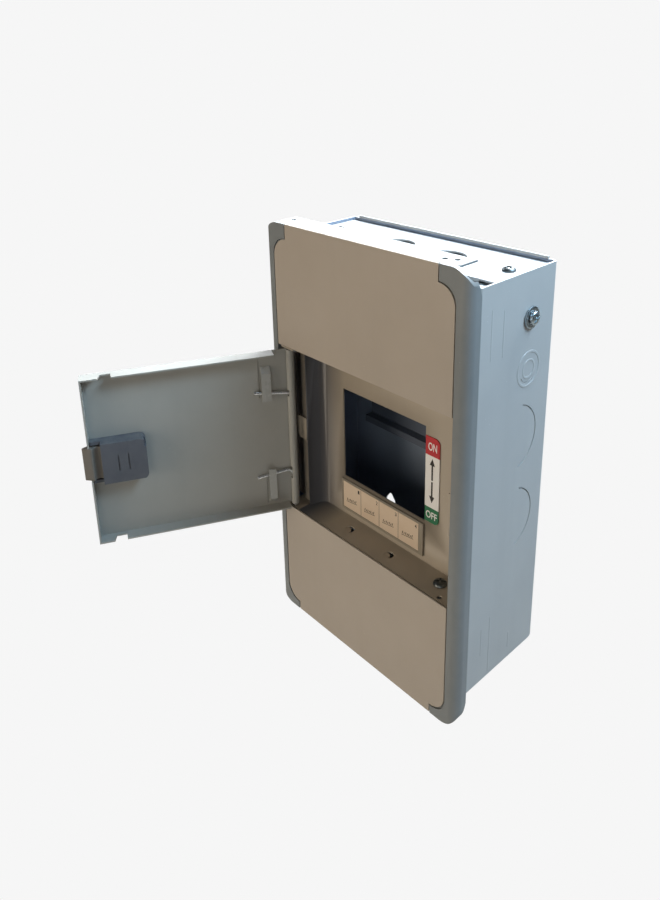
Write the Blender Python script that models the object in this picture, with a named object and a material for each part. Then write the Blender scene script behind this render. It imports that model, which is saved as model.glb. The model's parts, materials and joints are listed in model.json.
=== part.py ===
"""Wall-mounted sheet-steel distribution board for four breakers, with its door open.

The wall is the plane y = 0 and the front faces -Y. Driving sizes are in millimetres.
"""

import math

import bmesh
import bpy
from mathutils import Matrix, Vector

MM = 0.001

# Overall sizes
WIDTH = 165.0
HEIGHT = 291.2
DEPTH = 80.2
SHEET = 1.2
GAP = 0.3

# Back box
BOX_HALF = 81.7
BOX_TOP = 134.0
BOX_BOTTOM = -124.0
BOX_FRONT = 10.2
LIP_TOP = 135.6
GLAND_TOP = 132.1
GLAND_FRONT = 28.0
GLAND_HALF = BOX_HALF - SHEET - GAP
TAB_WIDTH = 13.0
UPPER_STRIP_Z = 123.6
LOWER_STRIP_Z = -114.8
STRIP_BACK = 30.5

# Cover frame and fascia plates
COVER_DEPTH = 9.9
COVER_TOP_DEPTH = 18.7
EDGE_RADIUS = 6.2
CORNER_RADIUS = 9.0
CORNER_RUN = ((1.6, 147.0), (5.0, 144.0), (7.0, 140.0), (8.1, 136.4), (9.2, 132.3), (10.6, 128.0),
              (10.6, 147.0))
RAIL_INNER = 73.75
TAB_HALF = 62.3
SHOULDER_RADIUS = 11.45
UPPER_SHOULDER_Z = 124.5
LOWER_SHOULDER_Z = -128.2
RECESS_TOP = 62.4
RECESS_BOTTOM = -60.5

# Escutcheon pan
PAN_BACK = 22.6
PAN_SHEET = 1.0
LEFT_WALL = ((-59.0, 11.0), (-56.4, 18.6), (-55.0, 20.9), (-53.0, 22.2), (-50.5, 22.6))
LEFT_WALL_BEHIND = ((-50.5, 23.6), (-53.4, 23.2), (-55.8, 21.6), (-57.4, 18.9), (-60.0, 11.0))
LEFT_FLANGE = (-68.5, 14.0)
PAN_RIGHT = 72.35
KEEPER = (70.3, 3.0, 13.8)
WINDOW = (-35.2, 36.7, -31.0, 35.0)
WINDOW_MIDDLE_Z = 2.0

# Door, in its own frame: x from the hinge axis to the free edge, y towards the box, z up
PIVOT_X = -66.7
PIVOT_DEPTH = 3.9
DOOR_ANGLE = 116.0
DOOR_LENGTH = 134.15
DOOR_TOP = 59.1
DOOR_BOTTOM = -58.7
DOOR_SHEET = 1.0
CURL_OUTER = 2.7
CURL_INNER = CURL_OUTER - DOOR_SHEET
CURL_END = -24
FLANGE_TIP = 6.55
WIRE_RADIUS = 1.0
PIVOT_HOLE_RADIUS = 1.12
LATCH_HALF = 14.8

# Inside
RAIL_LIPS = 12.6
RAIL_DEPTH = 7.5
TERMINAL_COUNT = 7
TERMINAL_PITCH = 10.0

SEGMENTS = 32


def clear_scene():
    for obj in list(bpy.data.objects):
        bpy.data.objects.remove(obj, do_unlink=True)


def material(name, colour, roughness, metallic=0.0):
    made = bpy.data.materials.new(name)
    made.use_nodes = True
    shader = made.node_tree.nodes["Principled BSDF"]
    shader.inputs["Base Color"].default_value = (*colour, 1.0)
    shader.inputs["Roughness"].default_value = roughness
    shader.inputs["Metallic"].default_value = metallic
    made.diffuse_color = (*colour, 1.0)
    return made


def front(depth):
    """The y of a plane this far behind the front face."""
    return depth - DEPTH


# ---------------------------------------------------------------- outlines

def arc(centre, radius, start, end, steps):
    """Points on a circle, by angle in degrees."""
    points = []
    for i in range(steps + 1):
        angle = math.radians(start + (end - start) * i / steps)
        points.append((centre[0] + radius * math.cos(angle), centre[1] + radius * math.sin(angle)))
    return points


def circle(centre, radius, steps=SEGMENTS):
    return arc(centre, radius, 0, 360, steps)[:-1]


def mirrored(points):
    """The outline's right half, closed by its mirror image in x = 0."""
    return points + [(-x, y) for x, y in reversed(points)]


# ---------------------------------------------------------------- solids

def new_object(name, mesh_edit, look=None, parent=None):
    mesh = bpy.data.meshes.new(name)
    bmesh.ops.recalc_face_normals(mesh_edit, faces=mesh_edit.faces)
    mesh_edit.to_mesh(mesh)
    mesh_edit.free()
    obj = bpy.data.objects.new(name, mesh)
    bpy.context.scene.collection.objects.link(obj)
    if look:
        mesh.materials.append(look)
    obj.parent = parent
    return obj


def add_prism(edit, outline, axis, low, high):
    """Extrudes a closed outline along x, y or z, in millimetres.

    The outline's two coordinates are (y, z), (x, z) or (x, y), in that order.
    """
    def place(point, height):
        if axis == "x":
            return Vector((height, point[0], point[1])) * MM
        if axis == "y":
            return Vector((point[0], height, point[1])) * MM
        return Vector((point[0], point[1], height)) * MM

    base = [edit.verts.new(place(point, low)) for point in outline]
    face = edit.faces.new(base)
    grown = bmesh.ops.extrude_face_region(edit, geom=[face])
    tops = [v for v in grown["geom"] if isinstance(v, bmesh.types.BMVert)]
    shift = {"x": Vector((1, 0, 0)), "y": Vector((0, 1, 0)), "z": Vector((0, 0, 1))}[axis]
    bmesh.ops.translate(edit, vec=shift * (high - low) * MM, verts=tops)


def add_box(edit, low, high):
    outline = [(low[0], low[1]), (high[0], low[1]), (high[0], high[1]), (low[0], high[1])]
    add_prism(edit, outline, "z", low[2], high[2])


def add_turned(edit, profile, centre, axis, segments=20):
    """Spins a (radius, height) profile about an axis; both of its ends lie on the axis."""
    turn = {"x": Matrix.Rotation(math.pi / 2, 3, "Y"), "-x": Matrix.Rotation(-math.pi / 2, 3, "Y"),
            "y": Matrix.Rotation(-math.pi / 2, 3, "X"), "-y": Matrix.Rotation(math.pi / 2, 3, "X"),
            "z": Matrix.Identity(3), "-z": Matrix.Rotation(math.pi, 3, "X")}[axis]
    origin = Vector(centre)
    rings = []
    for radius, height in profile:
        if radius == 0:
            rings.append([edit.verts.new((turn @ Vector((0, 0, height)) + origin) * MM)])
            continue
        ring = []
        for i in range(segments):
            angle = 2 * math.pi * i / segments
            local = Vector((radius * math.cos(angle), radius * math.sin(angle), height))
            ring.append(edit.verts.new((turn @ local + origin) * MM))
        rings.append(ring)
    for lower, upper in zip(rings, rings[1:]):
        for i in range(segments):
            j = (i + 1) % segments
            if len(lower) == 1:
                edit.faces.new((lower[0], upper[i], upper[j]))
            elif len(upper) == 1:
                edit.faces.new((lower[i], lower[j], upper[0]))
            else:
                edit.faces.new((lower[i], lower[j], upper[j], upper[i]))


def prism(name, outline, axis, low, high, look=None, parent=None):
    edit = bmesh.new()
    add_prism(edit, outline, axis, low, high)
    return new_object(name, edit, look, parent)


def boxes(name, corners, look=None, parent=None):
    """One object of several boxes that don't touch, or one box."""
    edit = bmesh.new()
    for low, high in corners:
        add_box(edit, low, high)
    return new_object(name, edit, look, parent)


def turned(name, profile, centre, axis, look=None, parent=None, segments=20):
    edit = bmesh.new()
    add_turned(edit, profile, centre, axis, segments)
    obj = new_object(name, edit, look, parent)
    smooth(obj)
    return obj


def smooth(obj):
    obj.data.shade_smooth()
    obj.data.set_sharp_from_angle(angle=math.radians(35))


def helper(obj):
    obj.hide_render = True
    obj.display_type = "WIRE"
    return obj


def boolean(obj, operation, other):
    modifier = obj.modifiers.new(operation.lower(), "BOOLEAN")
    modifier.operation = operation
    modifier.solver = "EXACT"
    modifier.object = helper(other)
    other.parent = obj.parent


def cut(obj, *others):
    for other in others:
        boolean(obj, "DIFFERENCE", other)


def join(obj, *others):
    for other in others:
        boolean(obj, "UNION", other)


# ---------------------------------------------------------------- back box

def ring_cutters(name, axis, level, centres_and_radii, groove=0.9, depth=0.5):
    """Shallow ring grooves in a face at this level, one for each (centre, radius)."""
    edit = bmesh.new()
    for centre, radius in centres_and_radii:
        outer = [edit.verts.new(ring_point(axis, level - depth, p)) for p in circle(centre, radius)]
        inner = [edit.verts.new(ring_point(axis, level - depth, p)) for p in circle(centre, radius - groove)]
        floor = [edit.faces.new((outer[i - 1], outer[i], inner[i], inner[i - 1])) for i in range(SEGMENTS)]
        grown = bmesh.ops.extrude_face_region(edit, geom=floor)
        tops = [v for v in grown["geom"] if isinstance(v, bmesh.types.BMVert)]
        bmesh.ops.translate(edit, vec=Vector(ring_point(axis, 2 * depth, (0, 0))), verts=tops)
    return new_object(name, edit)


def ring_point(axis, height, point):
    if axis == "x":
        return (height * MM, point[0] * MM, point[1] * MM)
    return (point[0] * MM, point[1] * MM, height * MM)


SIDE_KNOCKOUTS = [((-33.0, 34.4), 20.5), ((-32.0, -20.0), 20.0), ((-23.3, 75.4), 12.5), ((-23.3, 75.4), 7.5)]
GLAND_KNOCKOUTS = [((x, -31.0), radius) for x in (-14.0, 26.0) for radius in (13.4, 11.4)]
SIDE_CREASES = [(20.6, 91.0, 119.8), (31.3, 90.0, 117.0), (32.0, -121.0, -80.4), (23.8, -104.1, -84.6),
                (52.5, -116.1, -104.5)]
KEYHOLES = [(-45.0, -83.0), (45.0, -83.0), (-45.0, 92.0), (45.0, 92.0)]
KEYHOLE_RADIUS = 5.6
EARTH_AT = (-24.2, 106.6)
GLAND_SCREWS_X = (-65.0, 70.0)
GLAND_SCREW_Y = -30.0


def box_outline():
    """The plan of the bent sheet: back, sides with rounded bends, and front returns."""
    outer_r, inner_r = 2.4, 1.2
    half, inner = BOX_HALF, BOX_HALF - SHEET
    y0 = front(BOX_FRONT)
    lip = 6.5
    right = [(half - lip, y0), (half, y0)]
    right += arc((half - outer_r, -outer_r), outer_r, 0, 90, 4)
    left = [(-x, y) for x, y in reversed(right)]
    outside = right + left
    inside_left = [(-half + lip, y0 + SHEET), (-inner, y0 + SHEET)]
    inside_left += arc((-inner + inner_r, -SHEET - inner_r), inner_r, 180, 90, 3)
    inside_right = [(-x, y) for x, y in reversed(inside_left)]
    return outside + inside_left + inside_right


def back_box(look):
    """Back panel, sides, front returns and the tabs that carry the gland plates."""
    box = prism("back_box", box_outline(), "z", BOX_BOTTOM, BOX_TOP, look)
    overlap = 0.8
    lip = boxes("back_lip", [((-76.0, -SHEET, BOX_TOP - 4.0), (76.0, 0.0, LIP_TOP))])
    tabs = []
    for sign in (-1, 1):
        x_in = sign * (BOX_HALF - SHEET - TAB_WIDTH)
        x_out = sign * (BOX_HALF - SHEET + overlap)
        for low, high in ((GLAND_TOP - 3.0, GLAND_TOP - 1.6), (-120.6, -119.2)):
            corner_a = (min(x_in, x_out), front(32.0), low)
            corner_b = (max(x_in, x_out), -4.0, high)
            tabs.append((corner_a, corner_b))
    reach = BOX_HALF - 0.4
    strips = [((-reach, front(BOX_FRONT + 0.4), low), (reach, front(STRIP_BACK), low + SHEET))
              for low in (UPPER_STRIP_Z, LOWER_STRIP_Z)]
    join(box, lip, boxes("gland_tabs", tabs), boxes("front_strips", strips))

    for side, hand in ((-1, "left"), (1, "right")):
        cut(box, ring_cutters(f"side_rings_{hand}", "x", side * BOX_HALF, SIDE_KNOCKOUTS))
    creases = []
    for side in (-1, 1):
        for depth, low, high in SIDE_CREASES:
            x_a, x_b = sorted((side * (BOX_HALF - 0.4), side * (BOX_HALF + 0.6)))
            creases.append(((x_a, front(depth) - 0.4, low), (x_b, front(depth) + 0.4, high)))
    holes = bmesh.new()
    for x, z in KEYHOLES:
        slot = arc((x, z), KEYHOLE_RADIUS, 156.4, 383.6, 20)
        slot += arc((x, z + 9.5), 1.8, 23.6, 156.4, 6)
        add_prism(holes, slot, "y", -3.0, 3.0)
    for x in GLAND_SCREWS_X:
        for z in (GLAND_TOP - 6.0, -122.6):
            add_prism(holes, circle((x, GLAND_SCREW_Y), 1.9, 12), "z", z, z + 6.0)
    for y in (-8.0, 8.0):
        add_prism(holes, circle((y * 5.6, WINDOW_MIDDLE_Z), 1.6, 12), "y", -3.0, 3.0)
    add_prism(holes, circle(EARTH_AT, 2.4, 12), "x", BOX_HALF - 4.0, BOX_HALF + 4.0)
    cut(box, boxes("side_creases", creases), new_object("box_holes", holes))
    return box


def gland_plate(name, side, look):
    """A plate that closes the box's top or bottom, with a turned-down front lip."""
    face = GLAND_TOP if side > 0 else -122.1
    far = face - side * SHEET
    low, high = sorted((face, far))
    plate = boxes(name, [((-GLAND_HALF, front(GLAND_FRONT), low), (GLAND_HALF, -2.0, high))], look)
    inner = GLAND_HALF - TAB_WIDTH - 1.0
    lip_low, lip_high = sorted((face - side * 0.2, face - side * 7.0))
    lip = boxes(f"{name}_lip", [((-inner, front(GLAND_FRONT), lip_low),
                                 (inner, front(GLAND_FRONT) + SHEET, lip_high))])
    join(plate, lip)
    rings = ring_cutters(f"{name}_rings", "z", face, GLAND_KNOCKOUTS)
    holes = bmesh.new()
    for x in GLAND_SCREWS_X:
        add_prism(holes, circle((x, GLAND_SCREW_Y), 2.1, 12), "z", face - 3.0, face + 3.0)
    cut(plate, rings, new_object(f"{name}_holes", holes))
    return plate


def pan_screw(name, centre, axis, look, head=4.0, shank=1.6, length=7.0, parent=None):
    """A pan-head screw: its head's underside is at the centre, and it points away from the axis."""
    dome = [(0, 2.3), (head * 0.5, 2.15), (head * 0.85, 1.5), (head, 0.6), (head, 0.0)]
    profile = dome + [(shank, 0.0), (shank, -length), (0, -length)]
    return turned(name, profile, centre, axis, look, parent, segments=16)


def slot_cut(screw, centre, size):
    low = tuple(c - s / 2 for c, s in zip(centre, size))
    high = tuple(c + s / 2 for c, s in zip(centre, size))
    cut(screw, boxes(f"{screw.name}_slot", [(low, high)]))


def gland_screws(look):
    for side, label in ((1, "top"), (-1, "bottom")):
        level = GLAND_TOP + GAP if side > 0 else -122.1 - GAP
        for x, hand in zip(GLAND_SCREWS_X, ("left", "right")):
            place = (x, GLAND_SCREW_Y, level)
            screw = pan_screw(f"gland_screw_{label}_{hand}", place, "z" if side > 0 else "-z", look)
            slot_cut(screw, (x, GLAND_SCREW_Y, level + side * 2.3), (5.4, 1.1, 2.0))


def earth_terminal(steel, zinc):
    """Washer and screw outside the right wall, and a nut inside it."""
    y, z = EARTH_AT
    x = BOX_HALF + GAP
    washer = prism("side_earth_washer", circle((y, z), 6.4, 28), "x", x, x + 1.2, zinc)
    cut(washer, prism("side_earth_washer_hole", circle((y, z), 2.4, 12), "x", x - 2.0, x + 4.0))
    lock = prism("side_earth_lock_washer", circle((y, z), 4.2, 20), "x", x + 1.5, x + 2.5, zinc)
    cut(lock, prism("side_earth_lock_hole", circle((y, z), 2.4, 12), "x", x - 1.0, x + 5.0))
    screw = pan_screw("side_earth_screw", (x + 2.8, y, z), "x", steel, head=3.9, shank=2.0, length=14.0)
    slot_cut(screw, (x + 5.1, y, z), (2.0, 1.0, 5.4))
    inner = BOX_HALF - SHEET - GAP
    nut = prism("side_earth_nut", circle((y, z), 4.4, 6), "x", inner - 3.2, inner, zinc)
    cut(nut, prism("side_earth_nut_hole", circle((y, z), 2.4, 12), "x", inner - 6.0, inner + 4.0))


# ---------------------------------------------------------------- cover

def shoulder_outline(edge_z, shoulder_z, end_z, grow=0.0):
    """A fascia plate's right half: straight side, rounded shoulder, and the tab to the cover's edge."""
    side = 1 if end_z > 0 else -1
    radius = SHOULDER_RADIUS + grow
    points = [(RAIL_INNER + grow, edge_z)]
    points += arc((TAB_HALF, shoulder_z), radius, 0, side * 90, 8)
    points[-1] = (TAB_HALF + grow, points[-1][1])
    points += [(TAB_HALF + grow, end_z)]
    return points


def rounded_rectangle(half_x, half_z, radius, steps=6):
    points = []
    for sx, sz, start in ((1, 1, 0), (-1, 1, 90), (-1, -1, 180), (1, -1, 270)):
        centre = (sx * (half_x - radius), sz * (half_z - radius))
        points += arc(centre, radius, start, start + 90, steps)
    return points


def rail_plan(half, depth_front, depth_back, radius):
    """The plan of the cover: flat front, rounded vertical edges, straight sides."""
    right = [(half, front(depth_back))]
    right += arc((half - radius, front(depth_front + radius)), radius, 0, -90, 6)
    return mirrored(right)


def cover_frame(look):
    """Grey rails and corners, folded back at the sides and, deeper, at the top and bottom."""
    half_x, half_z = WIDTH / 2, HEIGHT / 2
    frame = prism("cover_frame", rail_plan(half_x, 0.0, COVER_DEPTH, EDGE_RADIUS), "z", -half_z, half_z, look)
    boolean(frame, "INTERSECT", prism("cover_corners", rounded_rectangle(half_x, half_z, CORNER_RADIUS),
                                      "y", front(-5.0), front(40.0)))
    hollow = prism("cover_hollow", rail_plan(half_x - SHEET, SHEET, 20.0, EDGE_RADIUS - SHEET), "z",
                   -half_z + SHEET, half_z - SHEET)
    upper = prism("upper_opening", mirrored(shoulder_outline(0.0, UPPER_SHOULDER_Z, half_z + 5.0, GAP)), "y",
                  front(-4.0), front(SHEET + GAP))
    lower = prism("lower_opening", mirrored(shoulder_outline(1.0, LOWER_SHOULDER_Z, -half_z - 5.0, GAP)), "y",
                  front(-4.0), front(SHEET + GAP))
    cut(frame, hollow, upper, lower)
    returns = []
    for side in (-1, 1):
        x_a, x_b = sorted((side * (RAIL_INNER + GAP), side * (RAIL_INNER + GAP + SHEET)))
        returns.append(((x_a, front(0.0), -126.0), (x_b, front(7.6), 122.0)))
    flange_half = 72.5
    flanges = [((-flange_half, front(4.0), half_z - SHEET), (flange_half, front(COVER_TOP_DEPTH), half_z)),
               ((-flange_half, front(4.0), -half_z), (flange_half, front(COVER_TOP_DEPTH), -half_z + SHEET))]
    join(frame, boxes("rail_returns", returns), boxes("cover_flanges", flanges))
    corners = bmesh.new()
    for side in (-1, 1):
        for x_low, x_high in ((-half_x - 1.0, -flange_half), (flange_half, half_x + 1.0)):
            add_prism(corners, [(front(depth), side * z) for depth, z in CORNER_RUN], "x", x_low, x_high)
    cut(frame, new_object("corner_run_cuts", corners))
    slots = bmesh.new()
    for x, depth in ((-67.0, 12.0), (58.8, 9.0), (65.0, 11.5)):
        add_prism(slots, circle((x, front(depth)), 1.6, 12), "z", half_z - 3.0, half_z + 3.0)
    cut(frame, new_object("cover_slots", slots))
    return frame


def fascia(name, edge_z, shoulder_z, end_z, look, lip_depth=0.0):
    """A beige plate; a lip of this depth is folded back along the edge that meets the recess."""
    outline = mirrored(shoulder_outline(edge_z, shoulder_z, end_z))
    plate = prism(name, outline, "y", front(0.0), front(SHEET), look)
    if lip_depth:
        reach = RAIL_INNER - 2.5
        corners = ((-reach, front(0.0), edge_z), (reach, front(lip_depth), edge_z + SHEET))
        lip = boxes(f"{name}_lip", [corners])
        join(plate, lip)
    return plate


def escutcheon_pan(look):
    """The recess behind the door: walls, hinge ledges, right jamb and the back plate with its window."""
    top, bottom = RECESS_TOP - 0.8, RECESS_BOTTOM - 0.1
    right, pan_end = PAN_RIGHT, PAN_RIGHT + PAN_SHEET
    back_low, back_high = front(PAN_BACK), front(PAN_BACK + PAN_SHEET)
    ledge_left = -72.6
    pan = boxes("escutcheon_pan", [((LEFT_WALL[-1][0] - 0.4, back_low, bottom - PAN_SHEET),
                                    (pan_end, back_high, top + PAN_SHEET))], look)
    floor = boxes("pan_floor", [((ledge_left, front(1.7), bottom - PAN_SHEET), (pan_end, back_high, bottom))])
    ceiling = boxes("pan_ceiling", [((ledge_left, front(6.4), top), (pan_end, back_high, top + PAN_SHEET))])
    ledge_low, ledge_end = DOOR_TOP + 0.9, -58.0
    ledges = [((ledge_left, front(1.7), ledge_low), (ledge_end, front(8.0), ledge_low + PAN_SHEET)),
              ((ledge_left, front(7.0), ledge_low), (ledge_end, front(8.0), top + 0.7))]
    ledge, web = boxes("upper_ledge", ledges[:1]), boxes("upper_ledge_web", ledges[1:])
    wall_plan = [(x, front(depth)) for x, depth in LEFT_WALL + LEFT_WALL_BEHIND]
    left_wall = prism("pan_left_wall", wall_plan, "z", bottom - 0.5, top + 0.5)
    flange_low, flange_depth = LEFT_FLANGE
    left_flange = boxes("pan_left_flange", [((flange_low, front(flange_depth), bottom - 0.5),
                                             (-58.2, front(flange_depth + PAN_SHEET), top + 0.5))])
    tab_depth = LEFT_WALL[0][1]
    tab_outline = [(-58.9, -9.5), (-58.9, 7.0), (-69.5, 7.0), (-69.5, -7.0), (-67.5, -9.5)]
    tab = prism("pan_tab", tab_outline, "y", front(tab_depth), front(tab_depth + PAN_SHEET))
    wall_corners = ((right, front(3.0), bottom - 0.5), (pan_end, back_high, top + 0.5))
    right_wall = boxes("pan_right_wall", [wall_corners])
    keeper_x, keeper_depth, keeper_half = KEEPER
    keeper = boxes("latch_keeper", [((keeper_x, front(keeper_depth), -keeper_half),
                                     (right + 0.5, front(keeper_depth + PAN_SHEET), keeper_half))])
    join(pan, floor, ceiling, left_wall, left_flange, tab, right_wall, keeper, web, ledge)

    window = boxes("window_cut", [((WINDOW[0], front(PAN_BACK - 4.0), WINDOW[2]),
                                   (WINDOW[1], front(PAN_BACK + 6.0), WINDOW[3]))])
    holes = bmesh.new()
    for x, depth, radius in ((-19.3, 11.6, 3.4), (17.1, 11.2, 3.4), (57.3, 13.9, 2.0), (64.3, 4.6, 1.5)):
        add_prism(holes, circle((x, front(depth)), radius, 16), "z", bottom - 4.0, bottom + 3.0)
    add_prism(holes, circle((57.3, front(13.9)), 2.0, 16), "z", top - 3.0, top + 4.0)
    for low, high in ((bottom - 4.0, bottom + 3.0), (DOOR_TOP - 1.0, DOOR_TOP + 2.6)):
        add_prism(holes, circle((PIVOT_X, front(PIVOT_DEPTH)), PIVOT_HOLE_RADIUS, 16), "z", low, high)
    cut(pan, window, new_object("pan_holes", holes))
    return pan


def recess_fittings(zinc, holder_look, paper, marker_look):
    """Screws in the recess, the label holder, its strip and the ON/OFF marker."""
    floor, ceiling = RECESS_BOTTOM - 0.1 + GAP, RECESS_TOP - 0.8 - GAP
    y = front(13.9)
    lower = pan_screw("escutcheon_screw_lower", (57.3, y, floor), "z", zinc, head=4.4)
    slot_cut(lower, (57.3, y, floor + 2.3), (6.0, 1.2, 2.0))
    upper = pan_screw("escutcheon_screw_upper", (57.3, y, ceiling), "-z", zinc, head=4.4)
    slot_cut(upper, (57.3, y, ceiling - 2.3), (6.0, 1.2, 2.0))

    face = PAN_BACK - GAP
    holder_corners = ((-36.5, front(face - 1.5), -56.0), (36.9, front(face), -32.4))
    holder = boxes("label_holder", [holder_corners], holder_look)
    pocket_corners = ((-35.1, front(face - 4.0), -54.2), (33.5, front(face - 0.6), -33.8))
    cut(holder, boxes("label_pocket", [pocket_corners]))
    strip_front, strip_back = face - 1.4, face - 0.9
    boxes("label_strip", [((-34.8, front(strip_front), -53.9), (33.2, front(strip_back), -34.1))], paper)
    outline = [(37.3, -29.0)] + arc((44.2, -25.0), 4.0, -90, 0, 4)
    outline += arc((44.2, 25.7), 4.0, 0, 90, 4) + [(37.3, 29.7)]
    prism("on_off_marker", outline, "y", front(face - 0.5), front(face), marker_look)


# ---------------------------------------------------------------- door

def door_plan():
    """The skin and the rolled edge that turns round the hinge axis."""
    skin_in, skin_out = -CURL_INNER, -CURL_OUTER
    outer = arc((0, 0), CURL_OUTER, 270, CURL_END, 16)
    inner = arc((0, 0), CURL_INNER, CURL_END, 270, 14)
    return [(DOOR_LENGTH, skin_out)] + outer + inner + [(DOOR_LENGTH, skin_in)]


def strap(name, s_low, s_high, z_root, z_tip):
    """A lanced tongue: it rises from the skin at its root and runs free to its tip."""
    skin = -CURL_INNER
    way = 1 if z_tip > z_root else -1
    rise = 4.0 * way
    lift, thick = 2.7, 0.9
    outline = [(skin - 0.5, z_root), (skin + 0.4, z_root), (skin + lift + thick, z_root + rise),
               (skin + lift + thick, z_tip), (skin + lift, z_tip), (skin + lift, z_root + rise * 1.25),
               (skin - 0.5, z_root + rise * 0.35)]
    return prism(name, outline, "x", s_low, s_high)


def door_panel(look, hinge):
    """Skin, rolled hinge edge, three flanges, straps and the latch openings."""
    panel = prism("door_panel", door_plan(), "z", DOOR_BOTTOM, DOOR_TOP, look, hinge)
    start, end = 4.4, DOOR_LENGTH
    out, tip, sheet = -CURL_OUTER, FLANGE_TIP, DOOR_SHEET
    flanges = [boxes("flange_top", [((start + 7.6, out, DOOR_TOP - sheet), (end, tip, DOOR_TOP))]),
               boxes("flange_bottom", [((start, out, DOOR_BOTTOM), (end, tip, DOOR_BOTTOM + sheet))]),
               boxes("flange_end", [((end - sheet, out, DOOR_BOTTOM), (end, tip, DOOR_TOP))])]
    upper = strap("strap_upper", 14.0, 20.3, 48.5, 24.0)
    lower = strap("strap_lower", 13.3, 18.4, -55.5, -28.3)
    join(panel, *flanges, upper, lower)

    entries = [((0.3, -1.55, low), (4.0, 1.9, high)) for low, high in ((25.2, 30.0), (-38.0, -28.5))]
    slits = [((21.2, -4.0, 26.0), (21.7, 0.0, 57.6)), ((19.3, -4.0, -57.2), (19.8, 0.0, -36.6))]
    notches = bmesh.new()
    for middle, z in ((119.2, DOOR_TOP), (120.6, DOOR_BOTTOM)):
        outline = [(middle - 4.0, 1.0), (middle + 2.6, 1.0),
                   (middle + 4.6, tip + 3.0), (middle - 4.4, tip + 3.0)]
        add_prism(notches, outline, "z", z - 3.0, z + 3.0)
    bolt_way = boxes("bolt_way", [((end - 4.0, -1.2, -12.2), (end + 4.0, tip + 3.0, 12.2))])
    thumb_way = boxes("thumb_way", [((107.4, -6.0, -8.6), (122.6, -1.2, 8.6))])
    cut(panel, boxes("wire_entries", entries), boxes("strap_slits", slits),
        new_object("door_notches", notches), bolt_way, thumb_way)
    return panel


def tube(name, points, radius, look, parent, sides=12):
    """A round wire through these points, with its corners rounded."""
    path = [Vector(points[0])]
    bend = 2.6
    for before, corner, after in zip(points, points[1:], points[2:]):
        corner = Vector(corner)
        enter = corner + (Vector(before) - corner).normalized() * bend
        leave = corner + (Vector(after) - corner).normalized() * bend
        for i in range(5):
            t = i / 4
            path.append(enter * (1 - t) ** 2 + corner * 2 * t * (1 - t) + leave * t ** 2)
    path.append(Vector(points[-1]))

    edit = bmesh.new()
    rings = []
    side = Vector((0, 1, 0))
    for i, point in enumerate(path):
        ahead = (path[min(i + 1, len(path) - 1)] - path[max(i - 1, 0)]).normalized()
        side = (side - ahead * side.dot(ahead)).normalized()
        up = ahead.cross(side)
        ring = []
        for k in range(sides):
            angle = 2 * math.pi * k / sides
            offset = (side * math.cos(angle) + up * math.sin(angle)) * radius
            ring.append(edit.verts.new((point + offset) * MM))
        rings.append(ring)
    for lower, upper in zip(rings, rings[1:]):
        for k in range(sides):
            edit.faces.new((lower[k - 1], lower[k], upper[k], upper[k - 1]))
    edit.faces.new(rings[0])
    edit.faces.new(rings[-1])
    wire = new_object(name, edit, look, parent)
    smooth(wire)
    return wire


def hinge_wires(look, hinge):
    """Each wire lies under its strap, enters the rolled edge and leaves it as the pivot pin."""
    lying = -CURL_INNER + WIRE_RADIUS + GAP
    tube("hinge_wire_upper", [(25.5, lying, 30.4), (0, 0, 27.4), (0, 0, 61.4)],
         WIRE_RADIUS, look, hinge)
    tube("hinge_wire_lower", [(26.2, lying, -34.2), (2.9, lying, -31.2), (0, 0, -36.0), (0, 0, -63.4)],
         WIRE_RADIUS, look, hinge)


def latch_housing(look, hinge):
    """A hollow block on the door's inner face, open towards the free edge."""
    base, top = -CURL_INNER + GAP, 7.7
    start, mouth = 98.2, 126.4
    slope = 0.5
    outline = [(base, -LATCH_HALF), (base, LATCH_HALF), (top, LATCH_HALF - slope), (top, -LATCH_HALF + slope)]
    housing = prism("latch_housing", outline, "x", start, mouth, look, hinge)
    cheeks = [((mouth - 1.0, base, 12.6), (132.6, 3.4, LATCH_HALF)),
              ((mouth - 1.0, base, -LATCH_HALF), (132.6, 3.4, -12.6))]
    join(housing, boxes("latch_cheeks", cheeks))
    cavity = boxes("latch_cavity", [((start + 1.6, base - 2.0, -12.4), (mouth + 2.0, top - 1.4, 12.4))])
    notch = boxes("latch_notch", [((start - 2.0, 3.0, 8.6), (start + 1.2, top + 2.0, LATCH_HALF + 1.0))])
    groove_low, groove_high = top - 0.7, top + 2.0
    tongue = boxes("tongue_groove", [((109.3, groove_low, -6.0), (110.1, groove_high, 5.4)),
                                     ((115.6, groove_low, -6.0), (116.4, groove_high, 5.4))])
    join(tongue, boxes("tongue_groove_foot", [((109.3, groove_low, -6.0), (116.4, groove_high, -5.2))]))
    cut(housing, cavity, notch, tongue)
    return housing


def latch_slider(look, slide):
    """Shank inside the housing, scoop, finger tab with the bolt's bevel, and the thumb pad outside."""
    low, high = -0.9, 5.9
    scoop = arc((128.9, high + 0.6), 2.9, 195, 345, 8)
    outline = [(105.0, low), (131.5, low), (137.8, 2.6), (137.8, 3.4), (133.0, high)] + scoop[::-1]
    outline += [(105.0, high)]
    slider = prism("latch_slider", outline, "z", -11.4, 11.4, look, slide)
    pad = boxes("thumb_pad", [((112.0, -3.6, -8.0), (122.0, low + 0.6, 8.0))])
    join(slider, pad)
    grips = [((113.5 + 2.4 * i, -4.6, -9.0), (114.5 + 2.4 * i, -3.1, 9.0)) for i in range(3)]
    cut(slider, boxes("thumb_grips", grips))
    return slider


# ---------------------------------------------------------------- inside

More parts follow.
